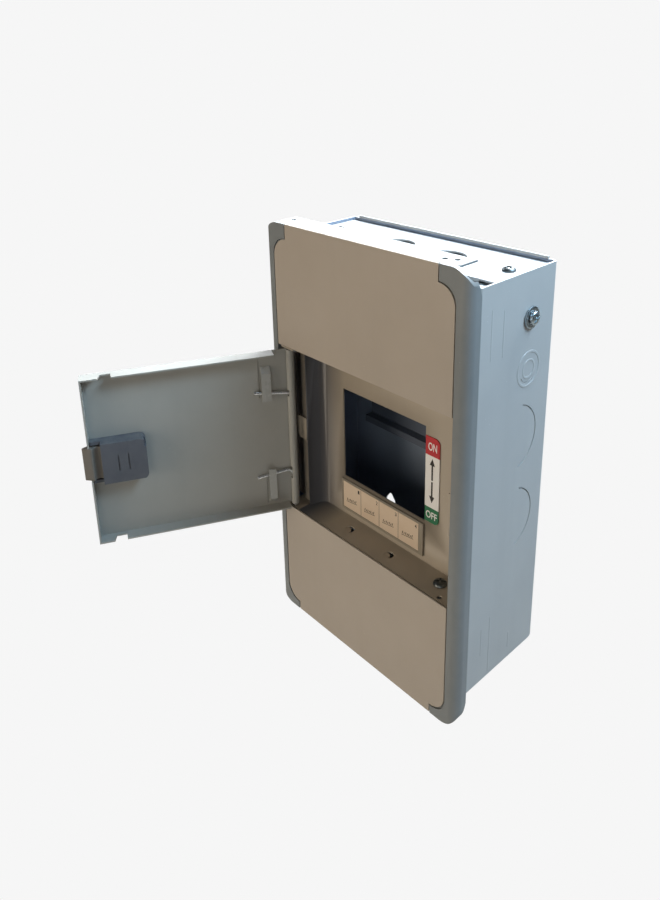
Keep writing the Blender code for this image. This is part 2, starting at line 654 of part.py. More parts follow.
def din_rail(steel, zinc):
    """A top-hat rail on two spacers, each held by a screw."""
    z = WINDOW_MIDDLE_Z
    lips, web = -RAIL_LIPS, -RAIL_LIPS + RAIL_DEPTH
    half_outer, half_inner, sheet = 17.5, 13.5, 1.0
    upper = [(web - sheet, half_inner - sheet), (lips, half_inner - sheet), (lips, half_outer),
             (lips + sheet, half_outer), (lips + sheet, half_inner), (web, half_inner)]
    outline = [(y, z + h) for y, h in upper] + [(y, z - h) for y, h in reversed(upper)]
    rail = prism("din_rail", outline, "x", -60.0, 60.0, steel)
    holes = bmesh.new()
    for x in (-44.8, 44.8):
        add_prism(holes, circle((x, z), 2.0, 12), "y", web - 4.0, web + 3.0)
    for x in (-22.0, 0.0, 22.0):
        slot = arc((x + 5.0, z), 2.6, -90, 90, 6) + arc((x - 5.0, z), 2.6, 90, 270, 6)
        add_prism(holes, slot, "y", web - 4.0, web + 3.0)
    cut(rail, new_object("rail_holes", holes))
    for x, hand in ((-44.8, "left"), (44.8, "right")):
        corners = ((x - 6.0, web + GAP, z - 11.0), (x + 6.0, -SHEET - GAP, z + 11.0))
        spacer = boxes(f"rail_spacer_{hand}", [corners], zinc)
        cut(spacer, prism(f"rail_spacer_hole_{hand}", circle((x, z), 2.0, 12), "y", web - 3.0, 3.0))
        seat = web - sheet - GAP
        screw = pan_screw(f"rail_screw_{hand}", (x, seat, z), "-y", zinc, head=3.6, shank=1.4, length=6.0)
        slot_cut(screw, (x, seat - 2.3, z), (5.0, 2.0, 1.0))


def terminal_bar(name, z, bar_look, screw_look, support_look):
    """A bar with clamping screws along it, on two supports off the back panel."""
    half = TERMINAL_COUNT * TERMINAL_PITCH / 2 + 9.0
    y_front, y_back = -22.0, -15.5
    bar = boxes(f"{name}_bar", [((-half, y_front, z - 4.0), (half, y_back, z + 4.0))], bar_look)
    holes = bmesh.new()
    places = [(i - (TERMINAL_COUNT - 1) / 2) * TERMINAL_PITCH for i in range(TERMINAL_COUNT)]
    for x in places:
        add_prism(holes, circle((x, y_back - 2.6), 1.9, 12), "z", z - 8.0, z + 8.0)
    cut(bar, new_object(f"{name}_wire_holes", holes))
    for x, hand in ((-half + 5.0, "left"), (half - 5.0, "right")):
        corners = ((x - 4.5, y_back + GAP, z - 5.5), (x + 4.5, -SHEET - GAP, z + 5.5))
        boxes(f"{name}_support_{hand}", [corners], support_look)
    for i, x in enumerate(places):
        profile = [(0, 1.6), (2.2, 1.6), (2.6, 1.2), (2.6, 0.0), (0, 0.0)]
        screw = turned(f"{name}_screw_{i + 1}", profile, (x, y_front - GAP, z), "-y", screw_look, segments=12)
        slot_cut(screw, (x, y_front - GAP - 1.6, z), (4.0, 1.4, 0.8))


# ---------------------------------------------------------------- assembly

def empty(name, location, turn, parent=None):
    obj = bpy.data.objects.new(name, None)
    obj.location = Vector(location) * MM
    obj.rotation_euler = (0, 0, math.radians(turn))
    obj.parent = parent
    bpy.context.scene.collection.objects.link(obj)
    return obj


def main():
    clear_scene()
    box_grey = material("box_grey", (0.36, 0.40, 0.42), 0.45)
    rail_grey = material("rail_grey", (0.24, 0.26, 0.26), 0.45)
    beige = material("beige", (0.38, 0.33, 0.27), 0.5)
    pan_paint = material("pan_paint", (0.30, 0.27, 0.22), 0.5)
    door_paint = material("door_paint", (0.26, 0.27, 0.25), 0.45)
    zinc = material("zinc", (0.62, 0.62, 0.60), 0.35, 1.0)
    wire_steel = material("wire_steel", (0.72, 0.72, 0.72), 0.25, 1.0)
    brass = material("brass", (0.66, 0.50, 0.24), 0.35, 1.0)
    dark_plastic = material("dark_plastic", (0.08, 0.09, 0.10), 0.45)
    holder_plastic = material("holder_plastic", (0.22, 0.20, 0.17), 0.5)
    insulator = material("insulator", (0.10, 0.22, 0.45), 0.5)
    paper = material("paper", (0.72, 0.62, 0.52), 0.7)
    marker = material("marker", (0.55, 0.45, 0.38), 0.6)

    back_box(box_grey)
    gland_plate("top_gland_plate", 1, box_grey)
    gland_plate("bottom_gland_plate", -1, box_grey)
    gland_screws(zinc)
    earth_terminal(wire_steel, zinc)

    cover_frame(rail_grey)
    fascia("upper_fascia", RECESS_TOP, UPPER_SHOULDER_Z, HEIGHT / 2, beige, lip_depth=5.6)
    fascia("lower_fascia", RECESS_BOTTOM, LOWER_SHOULDER_Z, -HEIGHT / 2, beige)
    escutcheon_pan(pan_paint)
    recess_fittings(zinc, holder_plastic, paper, marker)

    hinge = empty("door_hinge_axis", (PIVOT_X, front(PIVOT_DEPTH), 0), -DOOR_ANGLE)
    door_panel(door_paint, hinge)
    hinge_wires(wire_steel, hinge)
    latch_housing(dark_plastic, hinge)
    slide = empty("latch_slide_axis", (0, 0, 0), 0, hinge)
    latch_slider(dark_plastic, slide)

    din_rail(zinc, wire_steel)
    terminal_bar("neutral", 98.0, brass, zinc, insulator)
    terminal_bar("earth", -98.0, brass, zinc, zinc)


main()
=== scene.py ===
"""Looks for a sheet-steel distribution board whose small door stands open.

Sizes are in millimetres until a piece is finished, and the board keeps the place its frame gives it:
the wall is the plane y = 0, the front faces -Y and +Z is up.
"""

import json
import math

import bmesh
import bpy
from mathutils import Matrix, Vector


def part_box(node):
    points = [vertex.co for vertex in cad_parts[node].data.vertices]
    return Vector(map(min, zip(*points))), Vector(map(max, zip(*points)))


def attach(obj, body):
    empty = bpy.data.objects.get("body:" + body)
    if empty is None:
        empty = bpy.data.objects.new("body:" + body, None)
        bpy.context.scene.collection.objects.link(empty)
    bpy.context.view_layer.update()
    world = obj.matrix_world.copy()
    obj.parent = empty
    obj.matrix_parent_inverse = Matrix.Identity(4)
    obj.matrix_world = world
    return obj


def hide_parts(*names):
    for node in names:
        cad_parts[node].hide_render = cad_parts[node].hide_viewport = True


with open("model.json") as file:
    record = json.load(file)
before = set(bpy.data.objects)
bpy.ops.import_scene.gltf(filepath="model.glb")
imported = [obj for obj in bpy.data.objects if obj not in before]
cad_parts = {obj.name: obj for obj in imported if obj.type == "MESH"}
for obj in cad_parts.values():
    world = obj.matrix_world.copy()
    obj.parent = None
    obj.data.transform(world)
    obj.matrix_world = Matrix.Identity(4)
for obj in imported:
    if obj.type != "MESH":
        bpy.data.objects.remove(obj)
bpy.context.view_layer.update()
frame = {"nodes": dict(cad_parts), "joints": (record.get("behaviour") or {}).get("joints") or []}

MM = 0.001
HOME = Matrix.Identity(4)
CAD = {name: [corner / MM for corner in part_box(name)] for name in frame["nodes"]}

DEPTH = -CAD["cover_frame"][0].y
SHEET = 1.2
GAP = 0.3


# ---------------------------------------------------------------- node trees

def add_node(tree, kind, links=None, **settings):
    """A shader node; links gives each input a value or the socket that feeds it."""
    made = tree.nodes.new(kind)
    for key, value in settings.items():
        setattr(made, key, value)
    for key, value in (links or {}).items():
        if isinstance(value, bpy.types.NodeSocket):
            tree.links.new(value, made.inputs[key])
        else:
            made.inputs[key].default_value = value
    return made


def math_node(tree, operation, first, second):
    return add_node(tree, "ShaderNodeMath", {0: first, 1: second}, operation=operation).outputs[0]


def times(tree, first, second):
    return math_node(tree, "MULTIPLY", first, second)


def plus(tree, first, second):
    return math_node(tree, "ADD", first, second)


def noise_node(tree, vector, scale, detail=3.0, roughness=0.55):
    settings = {"Vector": vector, "Scale": scale, "Detail": detail, "Roughness": roughness}
    return add_node(tree, "ShaderNodeTexNoise", settings).outputs["Fac"]


def range_node(tree, value, low, high, to_low=0.0, to_high=1.0):
    settings = {"Value": value, "From Min": low, "From Max": high, "To Min": to_low, "To Max": to_high}
    return add_node(tree, "ShaderNodeMapRange", settings).outputs["Result"]


def mix_colours(tree, factor, first, second, blend="MIX"):
    made = tree.nodes.new("ShaderNodeMix")
    made.data_type = "RGBA"
    made.blend_type = blend
    for socket, value in ((made.inputs[0], factor), (made.inputs[6], first), (made.inputs[7], second)):
        if isinstance(value, bpy.types.NodeSocket):
            tree.links.new(value, socket)
        elif isinstance(value, (int, float)):
            socket.default_value = value
        else:
            socket.default_value = (*value, 1.0)
    return made.outputs[2]


def new_group(name, inputs, outputs):
    """An empty group: inputs are (name, default) numbers, outputs are names of values."""
    tree = bpy.data.node_groups.new(name, "ShaderNodeTree")
    for label, value in inputs:
        socket = tree.interface.new_socket(name=label, in_out="INPUT", socket_type="NodeSocketFloat")
        socket.default_value = value
    for label in outputs:
        tree.interface.new_socket(name=label, in_out="OUTPUT", socket_type="NodeSocketFloat")
    return tree, tree.nodes.new("NodeGroupInput"), tree.nodes.new("NodeGroupOutput")


def object_coordinates(tree):
    return tree.nodes.new("ShaderNodeTexCoord").outputs["Object"]


def coat_group():
    """Baked enamel: a fine orange-peel height, broad tone drift and small pale specks."""
    tree, given, result = new_group("enamel_coat", [("Peel Scale", 900.0)], ["Height", "Drift", "Speck"])
    place = object_coordinates(tree)
    fine = noise_node(tree, place, given.outputs["Peel Scale"], 2.0, 0.5)
    coarse = noise_node(tree, place, 140.0, 2.0, 0.5)
    height = plus(tree, fine, times(tree, coarse, 0.6))
    drift = noise_node(tree, place, 11.0, 4.0, 0.6)
    dots = add_node(tree, "ShaderNodeTexVoronoi", {"Vector": place, "Scale": 260.0})
    speck = range_node(tree, dots.outputs["Distance"], 0.1, 0.04)
    patch = range_node(tree, noise_node(tree, place, 45.0, 2.0), 0.56, 0.66)
    tree.links.new(height, result.inputs["Height"])
    tree.links.new(drift, result.inputs["Drift"])
    tree.links.new(times(tree, speck, patch), result.inputs["Speck"])
    return tree


def wear_group():
    """Edges where handling has thinned the finish."""
    tree, given, result = new_group("edge_wear", [("Radius", 0.0006), ("Amount", 0.6)], ["Mask"])
    rounded = add_node(tree, "ShaderNodeBevel", {"Radius": given.outputs["Radius"]}, samples=4)
    plain = tree.nodes.new("ShaderNodeNewGeometry")
    facing = add_node(tree, "ShaderNodeVectorMath", {0: rounded.outputs[0], 1: plain.outputs["Normal"]},
                      operation="DOT_PRODUCT")
    turn = range_node(tree, facing.outputs["Value"], 0.995, 0.86)
    broken = range_node(tree, noise_node(tree, object_coordinates(tree), 420.0, 4.0, 0.7), 0.42, 0.62)
    tree.links.new(times(tree, times(tree, turn, broken), given.outputs["Amount"]), result.inputs["Mask"])
    return tree


def dust_group():
    """Dust that settles on what faces up, and a faint film elsewhere."""
    tree, given, result = new_group("settled_dust", [("Amount", 0.3)], ["Mask"])
    normal = tree.nodes.new("ShaderNodeNewGeometry").outputs["Normal"]
    up = add_node(tree, "ShaderNodeSeparateXYZ", {0: normal}).outputs["Z"]
    lying = range_node(tree, up, -0.2, 1.0, 0.15, 1.0)
    broken = range_node(tree, noise_node(tree, object_coordinates(tree), 70.0, 6.0, 0.7), 0.35, 0.75)
    tree.links.new(times(tree, times(tree, lying, broken), given.outputs["Amount"]), result.inputs["Mask"])
    return tree


def smudge_group():
    """Finger marks and wiping: broad and fine variation of gloss."""
    tree, given, result = new_group("handling", [("Strength", 0.12)], ["Change", "Streak"])
    place = object_coordinates(tree)
    broad = noise_node(tree, place, 26.0, 5.0, 0.65)
    stretched = add_node(tree, "ShaderNodeMapping", {"Vector": place, "Scale": (60.0, 60.0, 3.0)})
    streak = noise_node(tree, stretched.outputs[0], 1.0, 4.0, 0.6)
    centred = math_node(tree, "SUBTRACT", plus(tree, broad, streak), 1.0)
    tree.links.new(times(tree, centred, given.outputs["Strength"]), result.inputs["Change"])
    tree.links.new(range_node(tree, streak, 0.5, 0.75), result.inputs["Streak"])
    return tree


GROUPS = {"coat": coat_group(), "wear": wear_group(), "dust": dust_group(), "smudge": smudge_group()}


def use_group(tree, key, values=None):
    made = add_node(tree, "ShaderNodeGroup", node_tree=GROUPS[key])
    for label, value in (values or {}).items():
        made.inputs[label].default_value = value
    return made.outputs


def new_material(name, **constants):
    """A material with its Principled shader's constant sockets set by name."""
    made = bpy.data.materials.new(name)
    made.use_nodes = True
    tree = made.node_tree
    shader = tree.nodes["Principled BSDF"]
    for label, value in constants.items():
        shader.inputs[label.replace("_", " ")].default_value = value
    return made, tree, shader


def shade(tree, shader, colour, roughness, height, distance=0.00004, strength=0.35):
    """Feeds the shader its colour, its roughness and a bump of this height in metres."""
    tree.links.new(colour, shader.inputs["Base Color"])
    tree.links.new(roughness, shader.inputs["Roughness"])
    bump = add_node(tree, "ShaderNodeBump", {"Height": height, "Distance": distance, "Strength": strength})
    tree.links.new(bump.outputs[0], shader.inputs["Normal"])


DUST = (0.55, 0.53, 0.49)
BARE_STEEL = (0.42, 0.42, 0.40)


def scaled_colour(colour, factor):
    return tuple(min(1.0, c * factor) for c in colour)


def enamel(name, colour, drift_colour, roughness=0.38, wear=0.5, dust=0.25, door_shadow=None):
    """Baked enamel on sheet steel: tone drift, specks, worn edges, dust and handling marks.

    The last argument, a colour, paints shade onto the hinge side, where the sheet stays in the shade of the
    door: a painted shadow of the open door.
    """
    made, tree, shader = new_material(name, Specular_IOR_Level=0.5)
    coat = use_group(tree, "coat")
    worn = use_group(tree, "wear", {"Amount": wear})["Mask"]
    dusty = use_group(tree, "dust", {"Amount": dust})["Mask"]
    smudge = use_group(tree, "smudge", {"Strength": 0.11})
    tone = mix_colours(tree, range_node(tree, coat["Drift"], 0.3, 0.7), colour, drift_colour)
    tone = mix_colours(tree, times(tree, smudge["Streak"], 0.12), tone, scaled_colour(colour, 0.72))
    tone = mix_colours(tree, times(tree, coat["Speck"], 0.5), tone, scaled_colour(colour, 1.5))
    tone = mix_colours(tree, dusty, tone, DUST)
    tone = mix_colours(tree, worn, tone, BARE_STEEL)
    # painted shade: the sheet darkens towards the hinge side as the open door's shadow
    if door_shadow:
        across = add_node(tree, "ShaderNodeSeparateXYZ", {0: object_coordinates(tree)}).outputs["X"]
        begins = range_node(tree, across, -0.0612, -0.0600)
        fades = range_node(tree, across, -0.0565, -0.0340, 1.0, 0.0)
        tone = mix_colours(tree, times(tree, begins, fades), tone, door_shadow)
    gloss = plus(tree, plus(tree, smudge["Change"], roughness), times(tree, dusty, 0.35))
    shade(tree, shader, tone, gloss, coat["Height"])
    return made


def plated(name, colour, spangle, roughness, grain=(40.0, 40.0, 40.0)):
    """Plated or plain metal: spangle or drawn lines, with dull patches."""
    made, tree, shader = new_material(name, Metallic=1.0)
    place = object_coordinates(tree)
    lines = add_node(tree, "ShaderNodeMapping", {"Vector": place, "Scale": grain})
    drawn = noise_node(tree, lines.outputs[0], 12.0, 4.0, 0.65)
    cells = add_node(tree, "ShaderNodeTexVoronoi", {"Vector": place, "Scale": 340.0}).outputs["Color"]
    cell = add_node(tree, "ShaderNodeSeparateColor", {0: cells}).outputs[0]
    tone = mix_colours(tree, cell, colour, spangle)
    dusty = use_group(tree, "dust", {"Amount": 0.25})["Mask"]
    tone = mix_colours(tree, dusty, tone, (0.30, 0.29, 0.27))
    smudge = use_group(tree, "smudge", {"Strength": 0.2})["Change"]
    gloss = plus(tree, smudge, range_node(tree, drawn, 0.3, 0.7, roughness - 0.08, roughness + 0.1))
    shade(tree, shader, tone, gloss, drawn, 0.00003, 0.2)
    return made


def moulded(name, colour, roughness, wear=0.25):
    """Moulded plastic with a fine spark-eroded grain and rubbed edges."""
    made, tree, shader = new_material(name, Specular_IOR_Level=0.45)
    coat = use_group(tree, "coat", {"Peel Scale": 1400.0})
    worn = use_group(tree, "wear", {"Amount": wear, "Radius": 0.0004})["Mask"]
    dusty = use_group(tree, "dust", {"Amount": 0.3})["Mask"]
    tone = mix_colours(tree, range_node(tree, coat["Drift"], 0.3, 0.7), colour, scaled_colour(colour, 0.8))
    tone = mix_colours(tree, dusty, tone, (0.40, 0.39, 0.36))
    tone = mix_colours(tree, worn, tone, tuple(min(1.0, c * 1.9 + 0.03) for c in colour))
    smudge = use_group(tree, "smudge", {"Strength": 0.14})["Change"]
    shade(tree, shader, tone, plus(tree, smudge, roughness), coat["Height"], 0.00005, 0.5)
    return made


def printed(name, colour, roughness=0.5, fibre=0.08):
    """Printed card or film: fibres, light staining and a satin face."""
    made, tree, shader = new_material(name, Specular_IOR_Level=0.35)
    place = object_coordinates(tree)
    stretched = add_node(tree, "ShaderNodeMapping", {"Vector": place, "Scale": (400.0, 400.0, 1500.0)})
    threads = noise_node(tree, stretched.outputs[0], 1.0, 5.0, 0.7)
    stain = range_node(tree, noise_node(tree, place, 55.0, 4.0, 0.6), 0.45, 0.8)
    tone = mix_colours(tree, times(tree, threads, fibre * 4), colour, scaled_colour(colour, 0.8))
    tone = mix_colours(tree, times(tree, stain, 0.3), tone,
                       (colour[0] * 0.8, colour[1] * 0.72, colour[2] * 0.6))
    smudge = use_group(tree, "smudge", {"Strength": 0.15})["Change"]
    shade(tree, shader, tone, plus(tree, smudge, roughness), threads, 0.00002, 0.3)
    return made


LOOKS = {
    "box_grey": enamel("box_enamel", (0.47, 0.485, 0.49), (0.42, 0.435, 0.445), 0.36),
    "rail_grey": enamel("rail_enamel", (0.225, 0.245, 0.255), (0.20, 0.22, 0.23), 0.34, wear=0.3),
    "beige": enamel("fascia_enamel", (0.47, 0.41, 0.345), (0.43, 0.375, 0.315), 0.42, wear=0.25),
    # the escutcheon carries a painted shadow of the door on its hinge side
    "pan_paint": enamel("escutcheon_enamel_painted_shade", (0.43, 0.375, 0.30), (0.38, 0.33, 0.265), 0.4, dust=0.03,
                        door_shadow=(0.095, 0.10, 0.115)),
    "door_paint": enamel("door_enamel", (0.395, 0.39, 0.36), (0.355, 0.355, 0.33), 0.38),
    "zinc": plated("zinc_plate", (0.62, 0.63, 0.64), (0.46, 0.47, 0.49), 0.32),
    "wire_steel": plated("bright_steel", (0.95, 0.95, 0.94), (0.85, 0.85, 0.85), 0.3, (300.0, 300.0, 12.0)),
    "brass": plated("bar_brass", (0.70, 0.52, 0.24), (0.58, 0.42, 0.19), 0.3, (9.0, 300.0, 300.0)),
    "screw_zinc": plated("screw_zinc", (0.50, 0.58, 0.62), (0.34, 0.41, 0.45), 0.3),
    "screw_dark": plated("screw_dark", (0.20, 0.225, 0.235), (0.11, 0.125, 0.13), 0.42),
    # the rail is dark navy instead of bright zinc: painted shade, so it sinks into the shade inside the box
    "rail_zinc": enamel("rail_zinc", (0.10, 0.125, 0.175), (0.085, 0.105, 0.145), 0.6, wear=0.05, dust=0.02),
    # the inside primer is darker and bluer than the outside: a real primer that also paints the shade inside
    # the box
    "primer": enamel("inside_primer_painted_shade", (0.25, 0.315, 0.45), (0.22, 0.27, 0.35), 0.5, wear=0.1, dust=0.03),
    # the straps' lighter, glossier colour is a painted highlight of the raised straps; their worn edges are
    # real wear
    "strap_paint": enamel("strap_enamel_painted_highlight", (0.47, 0.48, 0.46), (0.40, 0.41, 0.40), 0.28, wear=0.9, dust=0.1),
    "worn_plastic": moulded("worn_latch_plastic", (0.19, 0.175, 0.155), 0.38, wear=0.6),
    "dark_plastic": moulded("latch_plastic", (0.105, 0.113, 0.135), 0.42),
    "holder_plastic": moulded("holder_plastic", (0.31, 0.275, 0.22), 0.42),
    "insulator": moulded("insulator_plastic", (0.06, 0.16, 0.38), 0.4),
    "paper": printed("label_card", (0.72, 0.585, 0.45)),
    "marker": printed("marker_film", (0.72, 0.66, 0.60), 0.4),
    "red_print": printed("marker_red", (0.52, 0.035, 0.04), 0.35, 0.04),
    "green_print": printed("marker_green", (0.02, 0.16, 0.07), 0.35, 0.04),
    "white_print": printed("marker_white", (0.85, 0.84, 0.82), 0.4, 0.03),
    "black_print": printed("print_black", (0.035, 0.03, 0.028), 0.5, 0.04),
}


# ---------------------------------------------------------------- shapes

def front(depth):
    """The y of a plane this far behind the front face."""
    return depth - DEPTH


def verts_of(grown):
    """The new vertices among what an extrusion returns."""
    return [item for item in grown["geom"] if isinstance(item, bmesh.types.BMVert)]


def block(low, high):
    """A box between two corners."""
    edit = bmesh.new()
    low, high = Vector(low), Vector(high)
    bmesh.ops.create_cube(edit, size=1.0)
    bmesh.ops.scale(edit, vec=high - low, verts=edit.verts)
    bmesh.ops.translate(edit, vec=(low + high) / 2, verts=edit.verts)
    return edit


def plate(corners, axis, low, high, rounds=None, segments=8):
    """A flat plate: its corners are (y, z), (x, z) or (x, y), and rounds gives some of them a radius."""
    lift = {"x": lambda p, h: (h, p[0], p[1]), "y": lambda p, h: (p[0], h, p[1]),
            "z": lambda p, h: (p[0], p[1], h)}[axis]
    edit = bmesh.new()
    verts = [edit.verts.new(lift(p, low)) for p in corners]
    edit.faces.new(verts)
    for index, radius in (rounds or {}).items():
        bmesh.ops.bevel(edit, geom=[verts[index]], offset=radius, offset_type="OFFSET", segments=segments,
                        profile=0.5, affect="VERTICES", material=-1)
    bmesh.ops.remove_doubles(edit, verts=edit.verts, dist=0.001)
    grown = bmesh.ops.extrude_face_region(edit, geom=edit.faces[:])
    bmesh.ops.translate(edit, vec=lift((0, 0), high - low), verts=verts_of(grown))
    bmesh.ops.recalc_face_normals(edit, faces=edit.faces)
    return edit


# Each turn stands a shape made along Z up on a face that looks that way.
TURNS = {"x": Matrix.Rotation(math.pi / 2, 4, "Y"), "-x": Matrix.Rotation(-math.pi / 2, 4, "Y"),
         "y": Matrix.Rotation(-math.pi / 2, 4, "X"), "-y": Matrix.Rotation(math.pi / 2, 4, "X"),
         "z": HOME, "-z": Matrix.Rotation(math.pi, 4, "X")}


def turned(profile, centre, axis, steps=32):
    """A (radius, height) profile spun about an axis through the centre."""
    edit = bmesh.new()
    verts = [edit.verts.new((radius, 0, height)) for radius, height in profile]
    edges = [edit.edges.new(pair) for pair in zip(verts, verts[1:])]
    bmesh.ops.spin(edit, geom=verts + edges, cent=(0, 0, 0), axis=(0, 0, 1), angle=2 * math.pi, steps=steps,
                   use_merge=True)
    bmesh.ops.remove_doubles(edit, verts=edit.verts, dist=0.0005)
    bmesh.ops.recalc_face_normals(edit, faces=edit.faces)
    bmesh.ops.transform(edit, matrix=Matrix.Translation(centre) @ TURNS[axis], verts=edit.verts)
    return edit


def disc(radius, centre, axis, low, high, steps=48):
    """A round plug from low to high along the axis."""
    return turned([(0, low), (radius, low), (radius, high), (0, high)], centre, axis, steps)


def arc_groove(centre, axis, radius, width, depth, start, sweep):
    """A cutter that runs along part of a circle, square in section, about a face through the centre."""
    edit = bmesh.new()
    section = [(radius - width / 2, -depth), (radius + width / 2, -depth),
               (radius + width / 2, depth), (radius - width / 2, depth)]
    face = edit.faces.new([edit.verts.new((x, 0, z)) for x, z in section])
    bmesh.ops.spin(edit, geom=[face], cent=(0, 0, 0), axis=(0, 0, 1), angle=math.radians(sweep), steps=40,
                   use_merge=False)
    bmesh.ops.remove_doubles(edit, verts=edit.verts, dist=0.0005)
    bmesh.ops.recalc_face_normals(edit, faces=edit.faces)
    turn = Matrix.Rotation(math.radians(start), 4, "Z")
    bmesh.ops.transform(edit, matrix=Matrix.Translation(centre) @ TURNS[axis] @ turn, verts=edit.verts)
    return edit


def bead(centre, axis, radius, half_width, rise):
    """A pressed ring with a rounded crown, sunk a little into its face."""
    profile = [(radius - half_width, -0.5), (radius - half_width * 0.6, rise * 0.6), (radius, rise),
               (radius + half_width * 0.6, rise * 0.6), (radius + half_width, -0.5)]
    return turned(profile + profile[:1], centre, axis, 56)


def bent_sheet(points, low, high, bends, thickness):
    """A sheet bent along upright lines: points in plan in a row, and the radius of each bend."""
    edit = bmesh.new()
    verts = [edit.verts.new((x, y, low)) for x, y in points]
    edges = [edit.edges.new(pair) for pair in zip(verts, verts[1:])]
    grown = bmesh.ops.extrude_edge_only(edit, edges=edges)
    bmesh.ops.translate(edit, vec=(0, 0, high - low), verts=verts_of(grown))
    for (x, y), radius in bends:
        upright = [e for e in edit.edges
                   if all((v.co.xy - Vector((x, y))).length < 0.01 for v in e.verts)]
        bmesh.ops.bevel(edit, geom=upright, offset=radius, offset_type="OFFSET", segments=6, profile=0.5,
                        affect="EDGES", material=-1)
    bmesh.ops.recalc_face_normals(edit, faces=edit.faces)
    bmesh.ops.solidify(edit, geom=edit.faces[:], thickness=thickness)
    return edit


def rescaled(place, factor):
    """The same turn, with its move in the other unit."""
    return Matrix.Translation(place.translation * factor) @ place.to_3x3().to_4x4()


def copied(name):
    """A CAD node's mesh, merged and with its flat faces whole again."""
    edit = bmesh.new()
    edit.from_mesh(frame["nodes"][name].data)
    bmesh.ops.scale(edit, vec=(1 / MM,) * 3, verts=edit.verts)
    bmesh.ops.remove_doubles(edit, verts=edit.verts, dist=0.002)
    bmesh.ops.dissolve_limit(edit, angle_limit=math.radians(0.8), verts=edit.verts, edges=edit.edges)
    return edit


def from_curve(curve, merge):
    """The solid that a curve or a line of text makes, its doubles merged."""
    holder = bpy.data.objects.new("holder", curve)
    bpy.context.scene.collection.objects.link(holder)
    bpy.context.view_layer.update()
    mesh = bpy.data.meshes.new_from_object(holder.evaluated_get(bpy.context.evaluated_depsgraph_get()))
    bpy.data.objects.remove(holder, do_unlink=True)
    edit = bmesh.new()
    edit.from_mesh(mesh)
    bmesh.ops.remove_doubles(edit, verts=edit.verts, dist=merge)
    return edit


def merged(*edits):
    """One mesh of several, which don't touch."""
    whole = bmesh.new()
    for edit in edits:
        carrier = bpy.data.meshes.new("carrier")
        edit.to_mesh(carrier)
        edit.free()
        whole.from_mesh(carrier)
        bpy.data.meshes.remove(carrier)
    return whole


def to_object(name, edit, place=HOME):
    """A shape in millimetres, moved to its place and made an object in metres."""
    bmesh.ops.transform(edit, matrix=place @ Matrix.Scale(MM, 4), verts=edit.verts)
    mesh = bpy.data.meshes.new(name)
    edit.to_mesh(mesh)
    edit.free()
    obj = bpy.data.objects.new(name, mesh)
    bpy.context.scene.collection.objects.link(obj)
    return obj


def applied(obj):
    """Replaces the object's mesh by what its modifiers make of it."""
    graph = bpy.context.evaluated_depsgraph_get()
    mesh = bpy.data.meshes.new_from_object(obj.evaluated_get(graph))
    obj.modifiers.clear()
    obj.data = mesh


def make(name, edit, body, look, nodes=(), place=HOME, keep=(), pierce=(), join=(), cut=(), soften=0.2,
         segments=2, angle=35):
    """Finishes a piece: kept, pierced, joined and cut, with rounded edges and even normals.

    Then it takes its looks, its body and slot, and the CAD nodes it stands for.
    """
    obj = to_object(name, edit, place)
    helpers = []
    for operation, shapes in (("INTERSECT", keep), ("DIFFERENCE", pierce), ("UNION", join),
                              ("DIFFERENCE", cut)):
        for shape in shapes:
            helper = to_object(f"{name}_{operation.lower()}", shape, place)
            step = obj.modifiers.new(operation.lower(), "BOOLEAN")
            step.operation = operation
            step.solver = "EXACT"
            step.object = helper
            helpers.append(helper)
    if soften:
        step = obj.modifiers.new("soften", "BEVEL")
        step.width = soften * MM
        step.segments = segments
        step.limit_method = "ANGLE"
        step.angle_limit = math.radians(angle)
        step.use_clamp_overlap = True
    applied(obj)
    for helper in helpers:
        bpy.data.objects.remove(helper, do_unlink=True)
    obj.data.shade_smooth()
    obj.data.set_sharp_from_angle(angle=math.radians(50))
    even = obj.modifiers.new("even normals", "WEIGHTED_NORMAL")
    even.keep_sharp = True
    for item in [look] if isinstance(look, str) else look:
        obj.data.materials.append(LOOKS[item])
    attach(obj, body)
    if nodes:
        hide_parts(*nodes)


# ---------------------------------------------------------------- back box and gland plates

KNOCKOUT_GROOVE = 0.8
FRONT_STRIPS_Z = (128.3, -114.8)
GLAND_LEDGES_Z = (129.1, -120.6)
GLAND_HOLES_Z = (129.0, -119.5)
CREASE_SECTION = ((-0.8, -0.4), (-0.5, 0.06), (0, 0.2), (0.5, 0.06), (0.8, -0.4))
SIDE_KNOCKOUTS = (((-33.0, 34.4), 20.5), ((-32.0, -20.0), 20.0))
SMALL_KNOCKOUT = (-23.3, 75.4)
SIDE_CREASES = ((20.6, 91.0, 119.8), (31.3, 90.0, 117.0), (32.0, -121.0, -80.4), (23.8, -104.1, -84.6),
                (52.5, -116.1, -104.5))
KEYHOLES = ((-45.0, -83.0), (45.0, -83.0), (-45.0, 92.0), (45.0, 92.0))
EARTH_AT = (-24.2, 106.6)
GLAND_SCREWS_X = (-65.0, 70.0)
GLAND_SCREW_Y = -30.0
GLAND_KNOCKOUTS_X = (-14.0, 26.0)
GLAND_KNOCKOUT_Y = -31.0
GLAND_KNOCKOUT_RADIUS = 13.0
GLAND_KNOCKOUT_LEAN = 6.0
GLAND_KNOCKOUT_TURN = -12.0
GLAND_LIP_HALF = 66.2
GLAND_LIP_DROP = {1: 2.3, -1: 7.0}
RAIL_Z = 2.0
RAIL_SCREWS_X = (-44.8, 44.8)


